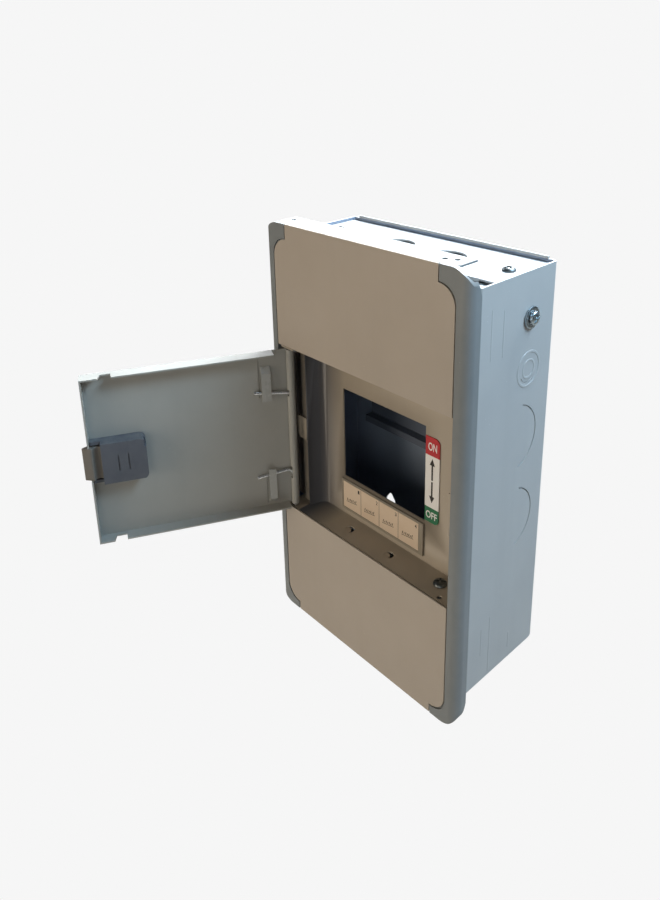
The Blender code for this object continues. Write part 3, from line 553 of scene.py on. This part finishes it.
def box_shell():
    """Back panel, sides and front returns from one sheet, with its pressings, slots and tabs."""
    low, high = CAD["back_box"]
    half, y_front, bottom = high.x, low.y, low.z
    rim = high.z - 1.6
    lip = half - 6.5
    points = [(-lip, y_front), (-half, y_front), (-half, 0), (half, 0), (half, y_front), (lip, y_front)]
    bends = [(point, radius) for point, radius in zip(points[1:-1], (1.4, 2.4, 2.4, 1.4))]
    shell = bent_sheet(points, bottom, rim, bends, SHEET)
    # inner faces take the primer, whose dark blue tone is partly painted shade of the box's inside
    for face in shell.faces:
        middle = face.calc_center_median()
        face.material_index = int(abs(middle.x) < half - 0.7 and y_front + 0.7 < middle.y < -0.7)

    inner = half - SHEET
    joins = [block((-76.0, -SHEET, rim - 4.0), (76.0, 0.0, high.z))]
    for z in FRONT_STRIPS_Z:
        joins.append(block((-half + 0.4, y_front + 0.4, z), (half - 0.4, front(30.5), z + SHEET)))
    for side in (-1, 1):
        for z in GLAND_LEDGES_Z:
            x_pair = sorted((side * (inner - 13.0), side * (inner + 0.8)))
            joins.append(block((x_pair[0], front(32.0), z), (x_pair[1], -4.0, z + 1.4)))
    cuts = []
    for side, axis in ((-1, "-x"), (1, "x")):
        face = side * half
        for (y, z), radius in SIDE_KNOCKOUTS:
            cuts.append(arc_groove((face, y, z), axis, radius, KNOCKOUT_GROOVE, 0.9, 14, 148))
        y, z = SMALL_KNOCKOUT
        joins.append(bead((face, y, z), axis, 10.4, 1.2, 0.3))
        joins.append(bead((face, y, z), axis, 5.4, 1.1, 0.22))
        cuts.append(arc_groove((face, y, z), axis, 8.0, 0.4, 0.4, -60, 100))
        for depth, z_low, z_high in SIDE_CREASES:
            ridge = [(face + side * rise, front(depth) + across) for across, rise in CREASE_SECTION]
            joins.append(plate(ridge, "z", z_low, z_high))
    for x, z in KEYHOLES:
        cuts.append(keyhole(x, z))
    for x in GLAND_SCREWS_X:
        for z in GLAND_HOLES_Z:
            cuts.append(disc(1.9, (x, GLAND_SCREW_Y, z), "z", -4.0, 4.0, 20))
    for x in RAIL_SCREWS_X:
        cuts.append(disc(1.6, (x, 0, RAIL_Z), "y", -3.0, 3.0, 20))
    cuts.append(disc(2.4, (half, *EARTH_AT), "x", -4.0, 4.0, 24))
    cuts.append(rounded_foot(half, bottom))
    make("box_shell", shell, "enclosure", ["box_grey", "primer"], ["back_box"], join=joins, cut=cuts,
         soften=0.15)


def keyhole(x, z):
    """Cutter for a wall screw: a round hole that narrows upwards."""
    radius, tip, rise = 4.8, 1.5, 5.7
    lean = math.asin((radius - tip) / rise)
    outline = [(x + radius * math.cos(a), z + radius * math.sin(a))
               for a in (math.pi - lean + (math.pi + 2 * lean) * i / 24 for i in range(25))]
    outline += [(x + tip * math.cos(a), z + rise + tip * math.sin(a))
                for a in (lean + (math.pi - 2 * lean) * i / 10 for i in range(11))]
    return plate(outline, "y", -3.0, 3.0)


def rounded_foot(half, bottom):
    """Cutter that rounds the box's lower back corners, seen from the side."""
    reach, radius = half + 2.0, 5.0
    section = [(0.4, bottom - 0.4), (0.4, bottom + radius), (0.0, bottom + radius), (0.0, bottom),
               (-radius, bottom), (-radius, bottom - 0.4)]
    return plate(section, "x", -reach, reach, {3: radius - 0.02}, 8)


def gland_plate(name, side):
    """A plate with a folded front lip and two half-sheared conduit knockouts."""
    low, high = CAD[name]
    face = high.z if side > 0 else low.z
    z_pair = sorted((face, face - side * SHEET))
    sheet = block((low.x, low.y, z_pair[0]), (high.x, high.y, z_pair[1]))
    lip_pair = sorted((face - side * 0.2, face - side * GLAND_LIP_DROP[side]))
    lip = block((-GLAND_LIP_HALF, low.y, lip_pair[0]), (GLAND_LIP_HALF, low.y + SHEET, lip_pair[1]))
    lean = Matrix.Rotation(-math.radians(GLAND_KNOCKOUT_LEAN), 4, "X")
    turn = Matrix.Rotation(math.radians(GLAND_KNOCKOUT_TURN), 4, "Z")
    to_hinge = Matrix.Translation((0, -GLAND_KNOCKOUT_RADIUS, 0))
    holes, slugs, cuts = [], [], []
    for x in GLAND_KNOCKOUTS_X:
        holes.append(disc(GLAND_KNOCKOUT_RADIUS - 0.1, (x, GLAND_KNOCKOUT_Y, face), "z", -4.0, 4.0))
        slug = disc(GLAND_KNOCKOUT_RADIUS, (0, GLAND_KNOCKOUT_RADIUS, -SHEET - 0.05), "z", 0.0, SHEET)
        lie = Matrix.Translation((x, GLAND_KNOCKOUT_Y, face)) @ Matrix.Diagonal((1, 1, side, 1)) @ turn
        bmesh.ops.transform(slug, matrix=lie @ to_hinge @ lean, verts=slug.verts)
        bmesh.ops.recalc_face_normals(slug, faces=slug.faces)
        slugs.append(slug)
    for x in GLAND_SCREWS_X:
        cuts.append(disc(2.1, (x, GLAND_SCREW_Y, face), "z", -3.0, 3.0, 24))
    make(f"{name}_sheet", sheet, "enclosure", "box_grey", [name], pierce=holes, join=[lip] + slugs, cut=cuts,
         soften=0.15)


# ---------------------------------------------------------------- screws and washers

HEAD_ROOM = 2.3


def cross_and_slot(centre, reach, depth):
    """Cutters for a screw's driver recess: a slot right across, and a short arm over it."""
    cutters = []
    for long_x, long_y in ((reach * 1.35, 0.55), (0.55, reach * 0.7)):
        cutter = block((-long_x, -long_y, -depth), (long_x, long_y, depth + 2.0))
        bmesh.ops.translate(cutter, vec=centre, verts=cutter.verts)
        cutters.append(cutter)
    return cutters


def pan_head(name, node, seat, axis, head, rise, shank, length, look="screw_zinc", turn=0.0):
    """A domed screw whose head stands on the seat; its driver recess may be turned."""
    dome = [(0, rise), (head * 0.3, rise * 0.985), (head * 0.58, rise * 0.9), (head * 0.82, rise * 0.68),
            (head * 0.96, rise * 0.38), (head, rise * 0.12), (head, 0.0)]
    thread = [(shank, 0.0)]
    pitch = 0.9
    for i in range(int((length - 1.0) / pitch)):
        at = -0.8 - i * pitch
        thread += [(shank, at), (shank * 0.82, at - pitch * 0.45)]
    thread += [(shank * 0.8, -length + 0.3), (shank * 0.5, -length), (0, -length)]
    place = Matrix.Translation(seat) @ TURNS[axis] @ Matrix.Rotation(math.radians(turn), 4, "Z")
    make(name, turned(dome + thread, (0, 0, 0), "z", 28), "enclosure", look, [node],
         place=rescaled(place, MM), cut=cross_and_slot((0, 0, rise), head, rise * 0.5), soften=0.08,
         segments=1, angle=50)


def all_screws():
    """The screws of the gland plates, the escutcheon and the rail, each stopped at its own turn."""
    turns = iter((20, 65, 10, 80, 35, 50, 15, 70))
    for side, label in ((1, "top"), (-1, "bottom")):
        for x, hand in zip(GLAND_SCREWS_X, ("left", "right")):
            node = f"gland_screw_{label}_{hand}"
            low, high = CAD[node]
            seat = (x, GLAND_SCREW_Y, high.z - HEAD_ROOM if side > 0 else low.z + HEAD_ROOM)
            pan_head(f"{node}_pan", node, seat, "z" if side > 0 else "-z", 3.9, 2.2, 1.6, 7.0, "screw_dark",
                     next(turns))
    for label, axis in (("lower", "z"), ("upper", "-z")):
        node = f"escutcheon_screw_{label}"
        low, high = CAD[node]
        seat_z = high.z - HEAD_ROOM if label == "lower" else low.z + HEAD_ROOM
        seat = ((low.x + high.x) / 2, (low.y + high.y) / 2, seat_z)
        pan_head(f"{node}_pan", node, seat, axis, 4.3, 2.2, 1.6, 7.0, "screw_dark", next(turns))
    for hand in ("left", "right"):
        node = f"rail_screw_{hand}"
        low, high = CAD[node]
        seat = ((low.x + high.x) / 2, low.y + HEAD_ROOM, (low.z + high.z) / 2)
        pan_head(f"{node}_pan", node, seat, "-y", 3.5, 2.2, 1.4, 6.0, turn=next(turns))


def earth_terminal():
    """Dished washer, toothed lock washer, screw and nut of the outside earth point."""
    washer_seat, lock_seat, nut_seat = (
        Vector((CAD[f"side_earth_{part}"][0].x, *EARTH_AT)) for part in ("washer", "lock_washer", "nut"))
    profile = [(2.4, 0.0), (6.0, 0.0), (6.4, 0.3), (6.4, 0.95), (6.1, 1.2), (4.9, 1.2), (4.6, 1.05),
               (2.4, 1.05), (2.4, 0.0)]
    make("earth_washer_dished", turned(profile, washer_seat, "x", 48), "enclosure", "screw_zinc",
         ["side_earth_washer"], soften=0.05, segments=1, angle=60)

    lock = turned([(2.4, 0.0), (3.6, 0.0), (3.6, 1.0), (2.4, 1.0), (2.4, 0.0)], lock_seat, "x", 24)
    teeth = []
    for i in range(12):
        tooth = block((3.2, -0.35, 0.1), (4.2, 0.35, 0.9))
        turn = Matrix.Translation(lock_seat) @ TURNS["x"] @ Matrix.Rotation(math.radians(30 * i), 4, "Z")
        bmesh.ops.transform(tooth, matrix=turn @ Matrix.Rotation(0.3, 4, "X"), verts=tooth.verts)
        teeth.append(tooth)
    make("earth_lock_washer_toothed", lock, "enclosure", "zinc", ["side_earth_lock_washer"],
         join=[merged(*teeth)], soften=0.05, segments=1, angle=60)

    screw_seat = (CAD["side_earth_screw"][1].x - 2.6, *EARTH_AT)
    pan_head("earth_screw_pan", "side_earth_screw", screw_seat, "x", 3.9, 1.5, 2.0, 14.0, turn=38)

    nut = turned([(2.1, 0.0), (4.1, 0.0), (4.4, 0.4), (4.4, 2.8), (4.1, 3.2), (2.1, 3.2), (2.1, 0.0)],
                 nut_seat, "x", 6)
    make("earth_nut_hex", nut, "enclosure", "zinc", ["side_earth_nut"], soften=0.1)


# ---------------------------------------------------------------- cover frame and fascia plates

SHOULDER_RADIUS = 11.4
TAB_HALF = 62.3
RAIL_INNER = 73.75
EDGE_RADIUS = 6.2
CORNER_RADIUS = 12.5
SHOULDER_RISE = 11.45
SHOULDERS = {1: 124.5, -1: -128.2}
LANDINGS_FROM = {1: 66.0, -1: -64.5}
COVER_DEPTH = 9.9
FLANGE_HALF = 72.5
CORNER_RUN = ((1.6, 147.0), (5.0, 144.0), (6.2, 142.0), (7.2, 139.6), (8.1, 136.4), (9.2, 132.3),
              (10.6, 128.0), (10.6, 147.0))
TOP_HOLES = ((-67.0, 12.0), (58.8, 9.0), (65.0, 11.5))


def shoulder_plate(edge, shoulder, end, y_low, y_high, grow=0.0):
    """A plate with straight sides, rounded shoulders and a narrower tab that ends at the cover's edge."""
    side = 1 if end > 0 else -1
    turn = shoulder + side * (SHOULDER_RISE + grow)
    plate_half, tab_half = RAIL_INNER + grow, TAB_HALF + grow
    right = [(plate_half, edge), (plate_half, turn), (tab_half, turn), (tab_half, end)]
    corners = right + [(-x, z) for x, z in reversed(right)]
    return plate(corners, "y", y_low, y_high, {1: SHOULDER_RADIUS - grow, 6: SHOULDER_RADIUS - grow}, 12)


def fascias():
    """The two beige plates; the upper one has a lip that turns in over the recess."""
    for side, node in ((1, "upper_fascia"), (-1, "lower_fascia")):
        low, high = CAD[node]
        edge, end = (low.z, high.z)[::side]
        sheet = shoulder_plate(edge, SHOULDERS[side], end, front(0.0), front(SHEET), -0.4)
        lips = []
        if side > 0:
            lips.append(block((low.x + 2.5, front(0.0), edge), (high.x - 2.5, high.y, edge + SHEET)))
        make(f"{node}_sheet", sheet, "enclosure", "beige", [node], join=lips, soften=0.35, segments=3)


def cover():
    """The grey frame: rounded rails and corners, folded back all round, open for the fascia plates."""
    high = CAD["cover_frame"][1]
    half_x, half_z = high.x, high.z
    back = front(COVER_DEPTH)
    points = [(-half_x, back), (-half_x, front(0.0)), (half_x, front(0.0)), (half_x, back)]
    edit = bmesh.new()
    outline = [edit.verts.new((x, y, -half_z)) for x, y in points]
    edit.faces.new(outline)
    for vert in outline[1:3]:
        bmesh.ops.bevel(edit, geom=[vert], offset=EDGE_RADIUS, offset_type="OFFSET", segments=12, profile=0.5,
                        affect="VERTICES", material=-1)
    grown = bmesh.ops.extrude_face_region(edit, geom=edit.faces[:])
    bmesh.ops.translate(edit, vec=(0, 0, 2 * half_z), verts=verts_of(grown))
    bmesh.ops.recalc_face_normals(edit, faces=edit.faces)
    corners = [(half_x, half_z), (-half_x, half_z), (-half_x, -half_z), (half_x, -half_z)]
    keep = plate(corners, "y", front(-4.0), front(14.0), {i: CORNER_RADIUS for i in range(4)}, 14)

    inside = [(-half_x + SHEET, front(20.0)), (-half_x + SHEET, front(SHEET)), (half_x - SHEET, front(SHEET)),
              (half_x - SHEET, front(20.0))]
    bend = EDGE_RADIUS - SHEET
    cuts = [plate(inside, "z", -half_z + SHEET, half_z - SHEET, {1: bend, 2: bend}, 12)]
    for side, middle in ((1, 0.0), (-1, 1.0)):
        cuts.append(shoulder_plate(middle, SHOULDERS[side], side * (half_z + 5.0), front(-4.0),
                                   front(SHEET + GAP), GAP))
    joins = []
    for side in (-1, 1):
        x_pair = sorted((side * (RAIL_INNER + GAP), side * (RAIL_INNER + GAP + SHEET)))
        joins.append(block((x_pair[0], front(0.0), -126.0), (x_pair[1], front(7.6), 122.0)))
        joins.append(shoulder_plate(LANDINGS_FROM[side], SHOULDERS[side], side * (half_z - 0.6),
                                    front(SHEET + GAP), front(2.4), 1.4))
        z_pair = sorted((side * half_z, side * (half_z - SHEET)))
        joins.append(block((-FLANGE_HALF, front(4.0), z_pair[0]), (FLANGE_HALF, high.y, z_pair[1])))
    late = []
    for side in (-1, 1):
        for x_low, x_high in ((-half_x - 1.0, -FLANGE_HALF), (FLANGE_HALF, half_x + 1.0)):
            late.append(plate([(front(depth), side * z) for depth, z in CORNER_RUN], "x", x_low, x_high))
    for x, depth in TOP_HOLES:
        late.append(disc(1.6, (x, front(depth), half_z), "z", -3.0, 3.0, 20))
    make("cover_rails", edit, "enclosure", "rail_grey", ["cover_frame"], keep=[keep], pierce=cuts, join=joins,
         cut=late, soften=0.3, segments=3, angle=32)


# ---------------------------------------------------------------- recess and its fittings

RECESS_FLOOR = -60.5
RECESS_HOLES = ((-19.3, 11.6), (17.1, 11.2))


def escutcheon():
    """The recess behind the door; two of its floor holes are half closed by pressed tongues."""
    pan = copied("escutcheon_pan")
    tongues = [disc(3.3, (x - 1.5, front(depth - 1.9), RECESS_FLOOR - 1.1), "z", -0.5, 0.7, 32)
               for x, depth in RECESS_HOLES]
    ledge = block((-74.9, front(14.0), -58.0), (-67.5, front(15.0), 58.0))
    make("recess_pan", pan, "enclosure", "pan_paint", ["escutcheon_pan"], join=tongues + [ledge], soften=0.25)


LETTER_THICKNESS = 0.06
LETTER_WEIGHT = 0.012


def words(text, size, place):
    """Plain lettering as a thin solid, centred on its place and facing the front."""
    curve = bpy.data.curves.new("letters", "FONT")
    curve.body = text
    curve.extrude = LETTER_THICKNESS / 2
    curve.offset = LETTER_WEIGHT
    curve.resolution_u = 4
    edit = from_curve(curve, 0.00001)
    xs = [v.co.x for v in edit.verts]
    ys = [v.co.y for v in edit.verts]
    middle = Vector(((min(xs) + max(xs)) / 2, (min(ys) + max(ys)) / 2, 0))
    fit = Matrix.Diagonal((size[0] / (max(xs) - min(xs)), size[1] / (max(ys) - min(ys)), 1.0, 1.0))
    upright = Matrix.Rotation(math.pi / 2, 4, "X")
    bmesh.ops.transform(edit, matrix=Matrix.Translation(place) @ upright @ fit @ Matrix.Translation(-middle),
                        verts=edit.verts)
    return edit


STROKES_Z = -47.9


def label_strip():
    """A holder with a lipped pocket, and a card of four numbered fields with ruled lines."""
    low, high = CAD["label_holder"]
    strip_low, strip_high = CAD["label_strip"]
    holder = block(low, high)
    pocket = block((strip_low.x - 0.25, low.y - 2.0, strip_low.z - 0.25),
                   (strip_high.x + 0.25, high.y - 0.5, strip_high.z + 0.25))
    groove = block((low.x - 1.0, low.y - 1.0, strip_high.z + 0.75),
                   (high.x + 1.0, low.y + 0.35, strip_high.z + 1.05))
    make("label_holder_frame", holder, "enclosure", "holder_plastic", ["label_holder"], cut=[pocket, groove],
         soften=0.25, segments=2)

    make("label_card", block(strip_low, strip_high), "enclosure", "paper", ["label_strip"], soften=0.06,
         segments=1)
    face = strip_low.y
    width = (strip_high.x - strip_low.x) / 4
    ink = []
    for i in range(4):
        left = strip_low.x + width * i
        if i:
            ink.append(block((left - 0.14, face - 0.04, strip_low.z + 0.15),
                             (left + 0.14, face + 0.02, strip_high.z - 0.15)))
        ink.append(words(str(i + 1), (1.5, 2.6), (left + width - 2.1, face - 0.02, strip_high.z - 2.7)))
        for step in range(7):
            x = left + 3.4 + 1.35 * step
            z = STROKES_Z + 0.16 * step
            height = 2.1 - 0.5 * (step % 2) - 0.1 * (step % 3)
            lean = [(x, z), (x + 0.5, z), (x + 0.95, z + height), (x + 0.45, z + height)]
            ink.append(plate(lean, "y", face - 0.04, face + 0.02))
        ruled = [(left + 3.0, STROKES_Z - 1.0), (left + 13.0, STROKES_Z + 0.3),
                 (left + 13.0, STROKES_Z + 0.65), (left + 3.0, STROKES_Z - 0.65)]
        ink.append(plate(ruled, "y", face - 0.04, face + 0.02))
    make("label_print", merged(*ink), "enclosure", "black_print", soften=0)


def on_off_marker():
    """The plate beside the window: red ON above, green OFF below, and an arrow to each."""
    low, high = CAD["on_off_marker"]
    corners = [(low.x, low.z), (high.x, low.z), (high.x, high.z), (low.x, high.z)]
    red_from, green_to = high.z - 12.4, low.z + 10.6
    film = plate(corners, "y", low.y, high.y, {1: 3.6, 2: 3.6}, 8)
    for z in (red_from, green_to):
        bmesh.ops.bisect_plane(film, geom=film.verts[:] + film.edges[:] + film.faces[:], plane_co=(0, 0, z),
                               plane_no=(0, 0, 1))
    for face in film.faces:
        height = face.calc_center_median().z
        face.material_index = 1 if height > red_from else 2 if height < green_to else 0
    make("marker_plate", film, "enclosure", ["white_print", "red_print", "green_print"],
         ["on_off_marker"], soften=0.08, segments=1)

    ink_y = low.y - 0.03
    middle_x = (low.x + high.x) / 2
    on = words("ON", (6.6, 5.4), (middle_x, ink_y, high.z - 6.4))
    off = words("OFF", (8.6, 5.0), (middle_x, ink_y, low.z + 5.4))
    make("marker_words", merged(on, off), "enclosure", "white_print", soften=0)
    middle_z = (low.z + high.z) / 2
    arrows = []
    for side in (1, -1):
        tail, neck, tip = (middle_z + side * h for h in (0.5, 10.6, 15.2))
        outline = [(middle_x + x, z) for x, z in ((-0.6, tail), (0.6, tail), (0.6, neck), (2.0, neck),
                                                  (0.0, tip), (-2.0, neck), (-0.6, neck))]
        arrows.append(plate(outline, "y", ink_y - 0.03, ink_y + 0.04))
    make("marker_arrows", merged(*arrows), "enclosure", "black_print", soften=0)


# ---------------------------------------------------------------- door

HINGE = next(joint for joint in frame["joints"] if joint["name"] == "door_hinge")
OPENING = -math.radians(HINGE["range_deg"][1])
DOOR_PLACE = Matrix.Translation(HINGE["pos_m"]) @ Matrix.Rotation(OPENING, 4, "Z")
OPEN_DOOR = rescaled(DOOR_PLACE, 1 / MM)
SKIN = -1.7
STRAPS = (13.0, 20.6, 57.0)
WIRE_BEND = 2.4


def in_door(edit):
    """Moves a shape from the door's own frame to where the door stands open."""
    bmesh.ops.transform(edit, matrix=OPEN_DOOR, verts=edit.verts)
    return edit


def door():
    """The door's sheet, its straps painted lighter as a painted highlight, with worn edges; the score beside
    each is closed by a thin web on the outside.
    """
    webs = [in_door(block((18.6, SKIN - 0.98, -57.6), (20.6, SKIN - 0.6, -36.2))),
            in_door(block((20.6, SKIN - 0.98, 25.6), (22.4, SKIN - 0.6, 58.0)))]
    skin = copied("door_panel")
    nearest, farthest, highest = STRAPS
    for face in skin.faces:
        spot = OPEN_DOOR.inverted() @ face.calc_center_median()
        raised = spot.y > SKIN + 0.5 and abs(spot.z) < highest
        # raised strap faces take the lighter strap colour, a painted highlight
        face.material_index = int(raised and nearest < spot.x < farthest)
    make("door_skin", skin, "door", ["door_paint", "strap_paint"], ["door_panel"], join=webs, soften=0.2)


def wire(name, node, points):
    """A round bent wire in the door's own frame: distance from the hinge, towards the box, and height."""
    curve = bpy.data.curves.new(name, "CURVE")
    curve.dimensions = "3D"
    curve.bevel_depth = MM
    curve.bevel_resolution = 6
    curve.use_fill_caps = True
    path = [Vector(points[0])]
    for before, corner, after in zip(points, points[1:], points[2:]):
        corner = Vector(corner)
        enter = corner + (Vector(before) - corner).normalized() * WIRE_BEND
        leave = corner + (Vector(after) - corner).normalized() * WIRE_BEND
        for i in range(9):
            t = i / 8
            path.append(enter * (1 - t) ** 2 + corner * 2 * t * (1 - t) + leave * t ** 2)
    path.append(Vector(points[-1]))
    spline = curve.splines.new("POLY")
    spline.points.add(len(path) - 1)
    for point, where in zip(spline.points, path):
        point.co = (*(DOOR_PLACE @ (where * MM)), 1.0)
    edit = from_curve(curve, 0.000001)
    bmesh.ops.recalc_face_normals(edit, faces=edit.faces)
    bmesh.ops.scale(edit, vec=(1 / MM,) * 3, verts=edit.verts)
    make(name, edit, "door", "wire_steel", [node], soften=0)


def hinge_wires():
    """Each lies under its strap and turns into the rolled edge, where it is the hinge's pin."""
    lying = SKIN + 1.0 + GAP
    wire("hinge_wire_upper_bent", "hinge_wire_upper", [(25.5, lying, 30.4), (0, 0, 27.4), (0, 0, 61.4)])
    wire("hinge_wire_lower_bent", "hinge_wire_lower",
         [(26.2, lying, -34.2), (2.9, lying, -31.2), (0, 0, -36.0), (0, 0, -63.4)])


def latch():
    """The housing has rounded corners towards the hinge; the slide's finger tab is rubbed pale."""
    corners = [(98.2, -14.8), (135.0, -14.8), (135.0, 14.8), (98.2, 14.8)]
    rounded = in_door(plate(corners, "y", -4.0, 12.0, {0: 4.2, 3: 4.2}))
    make("latch_block", copied("latch_housing"), "door", "dark_plastic", ["latch_housing"], keep=[rounded],
         soften=0.5, segments=3)
    make("latch_slide_piece", copied("latch_slider"), "latch", "worn_plastic", ["latch_slider"], soften=0.45,
         segments=3)


# ---------------------------------------------------------------- inside

def inside():
    """The rail, the two terminal bars and what carries them."""
    # the rail's dark navy look is painted shade of the box's inside
    make("rail_top_hat", copied("din_rail"), "enclosure", "rail_zinc", ["din_rail"], soften=0.2)
    for hand in ("left", "right"):
        node = f"rail_spacer_{hand}"
        make(f"{node}_block", copied(node), "enclosure", "zinc", [node], soften=0.3)
        for bar, look in (("neutral", "insulator"), ("earth", "zinc")):
            node = f"{bar}_support_{hand}"
            make(f"{node}_block", copied(node), "enclosure", look, [node], soften=0.6, segments=3)
    for bar in ("neutral", "earth"):
        make(f"{bar}_bar_drilled", copied(f"{bar}_bar"), "enclosure", "brass", [f"{bar}_bar"], soften=0.3)
        for i in range(7):
            node = f"{bar}_screw_{i + 1}"
            low, high = CAD[node]
            seat = Matrix.Translation(((low.x + high.x) / 2 * MM, high.y * MM, (low.z + high.z) / 2 * MM))
            profile = [(0, 1.6), (2.1, 1.6), (2.45, 1.45), (2.6, 1.2), (2.6, 0.0), (0, 0.0)]
            turn = Matrix.Rotation(math.radians(37 * i % 180), 4, "Z")
            make(f"{node}_head", turned(profile, (0, 0, 0), "z", 20), "enclosure", "zinc", [node],
                 place=seat @ TURNS["-y"] @ turn, cut=[block((-3.0, -0.4, 0.9), (3.0, 0.4, 3.0))], soften=0.1,
                 segments=1, angle=50)


def carried_over():
    """Every CAD node takes the detailed finish of its own slot, should it ever show."""
    for obj in frame["nodes"].values():
        slot = obj.data.materials[0].name.split(".")[0]
        obj.data.materials[0] = LOOKS[slot]


carried_over()
box_shell()
gland_plate("top_gland_plate", 1)
gland_plate("bottom_gland_plate", -1)
all_screws()
earth_terminal()
fascias()
cover()
escutcheon()
label_strip()
on_off_marker()
door()
hinge_wires()
latch()
inside()


# ---------------------------------------------------------------- stage, light and camera

PALE = (0.922, 0.922, 0.922)


def show(tree, lit, seen, output):
    """Outputs one shader for the light that falls on the board, and the other for what is seen directly."""
    direct = add_node(tree, "ShaderNodeLightPath").outputs["Is Camera Ray"]
    mixed = add_node(tree, "ShaderNodeMixShader", {0: direct, 1: lit.outputs[0], 2: seen.outputs[0]})
    add_node(tree, output, {"Surface": mixed.outputs[0]})


def pale_surround():
    """A world and a floor of the same pale tone; the world also gives a soft graded light."""
    world = bpy.data.worlds.new("studio")
    bpy.context.scene.world = world
    world.use_nodes = True
    tree = world.node_tree
    tree.nodes.clear()
    way = add_node(tree, "ShaderNodeTexCoord").outputs["Generated"]
    split = add_node(tree, "ShaderNodeSeparateXYZ", {0: way})
    height = range_node(tree, split.outputs["Z"], -0.6, 0.9)
    tone = mix_colours(tree, height, (0.15, 0.145, 0.13), (0.50, 0.56, 0.66))
    behind = range_node(tree, split.outputs["Y"], -0.45, 0.5)
    tone = mix_colours(tree, behind, (0.10, 0.10, 0.105), tone)
    soft = add_node(tree, "ShaderNodeBackground", {"Color": tone, "Strength": 0.42})
    seen = add_node(tree, "ShaderNodeBackground", {"Color": (*PALE, 1.0), "Strength": 1.0})
    show(tree, soft, seen, "ShaderNodeOutputWorld")

    edit = bmesh.new()
    bmesh.ops.create_grid(edit, x_segments=1, y_segments=1, size=6000.0)
    bmesh.ops.translate(edit, vec=(0, 0, -620.0), verts=edit.verts)
    floor = to_object("pale_floor", edit)
    made = bpy.data.materials.new("pale_floor")
    made.use_nodes = True
    tree = made.node_tree
    tree.nodes.clear()
    dull = add_node(tree, "ShaderNodeBsdfDiffuse", {"Color": (0.35, 0.33, 0.30, 1.0)})
    glow = add_node(tree, "ShaderNodeEmission", {"Color": (*PALE, 1.0), "Strength": 1.0})
    show(tree, dull, glow, "ShaderNodeOutputMaterial")
    floor.data.materials.append(made)


def area_light(name, place, target, size, power, colour):
    """A rectangular light at its place, turned towards its target."""
    data = bpy.data.lights.new(name, "AREA")
    data.shape = "RECTANGLE"
    data.size, data.size_y = size
    data.energy = power
    data.color = colour
    light = bpy.data.objects.new(name, data)
    light.location = place
    aim = Vector(target) - Vector(place)
    light.rotation_euler = aim.to_track_quat("-Z", "Y").to_euler()
    bpy.context.scene.collection.objects.link(light)


def studio():
    """Strong light from above and behind, cool from the window side, and a warm room in front."""
    pale_surround()
    area_light("overhead", (-0.1, 0.8, 1.25), (0, -0.04, 0.13), (0.8, 0.6), 62, (0.93, 0.97, 1.0))
    area_light("back_glare", (-1.1, 1.15, 0.62), (0, -0.05, 0.13), (1.3, 0.7), 15, (0.95, 0.98, 1.0))
    area_light("window_side", (0.46, 0.12, 0.62), (0.08, -0.03, 0.06), (0.3, 0.3), 6.3, (0.55, 0.79, 1.0))
    area_light("room_fill", (-0.42, -1.6, 0.25), (0, -0.08, 0.02), (1.0, 1.0), 11.6, (1.0, 0.86, 0.69))
    area_light("room_right", (1.0, -1.5, 0.35), (-0.05, -0.12, 0), (0.8, 0.8), 3.2, (1.0, 0.97, 0.9))
    bpy.context.scene.view_settings.view_transform = "Standard"


def place_camera():
    """Front right of the board and a little above it, level with a slight roll."""
    place = Vector((0.29736, -0.36473, 0.25478))
    ahead = Vector((-0.709703, 0.63545188, -0.30417522))
    up = Vector((-0.21076313, 0.22047593, 0.95234934))
    right = ahead.cross(up).normalized()
    up = right.cross(ahead).normalized()
    data = bpy.data.cameras.new("camera")
    data.lens = 30.164
    data.sensor_width = 36.0
    data.shift_y = -0.1892
    data.clip_start = 0.01
    camera = bpy.data.objects.new("camera", data)
    turn = Matrix((right, up, -ahead)).transposed().to_4x4()
    camera.matrix_world = Matrix.Translation(place) @ turn
    bpy.context.scene.collection.objects.link(camera)
    bpy.context.scene.camera = camera


studio()
place_camera()
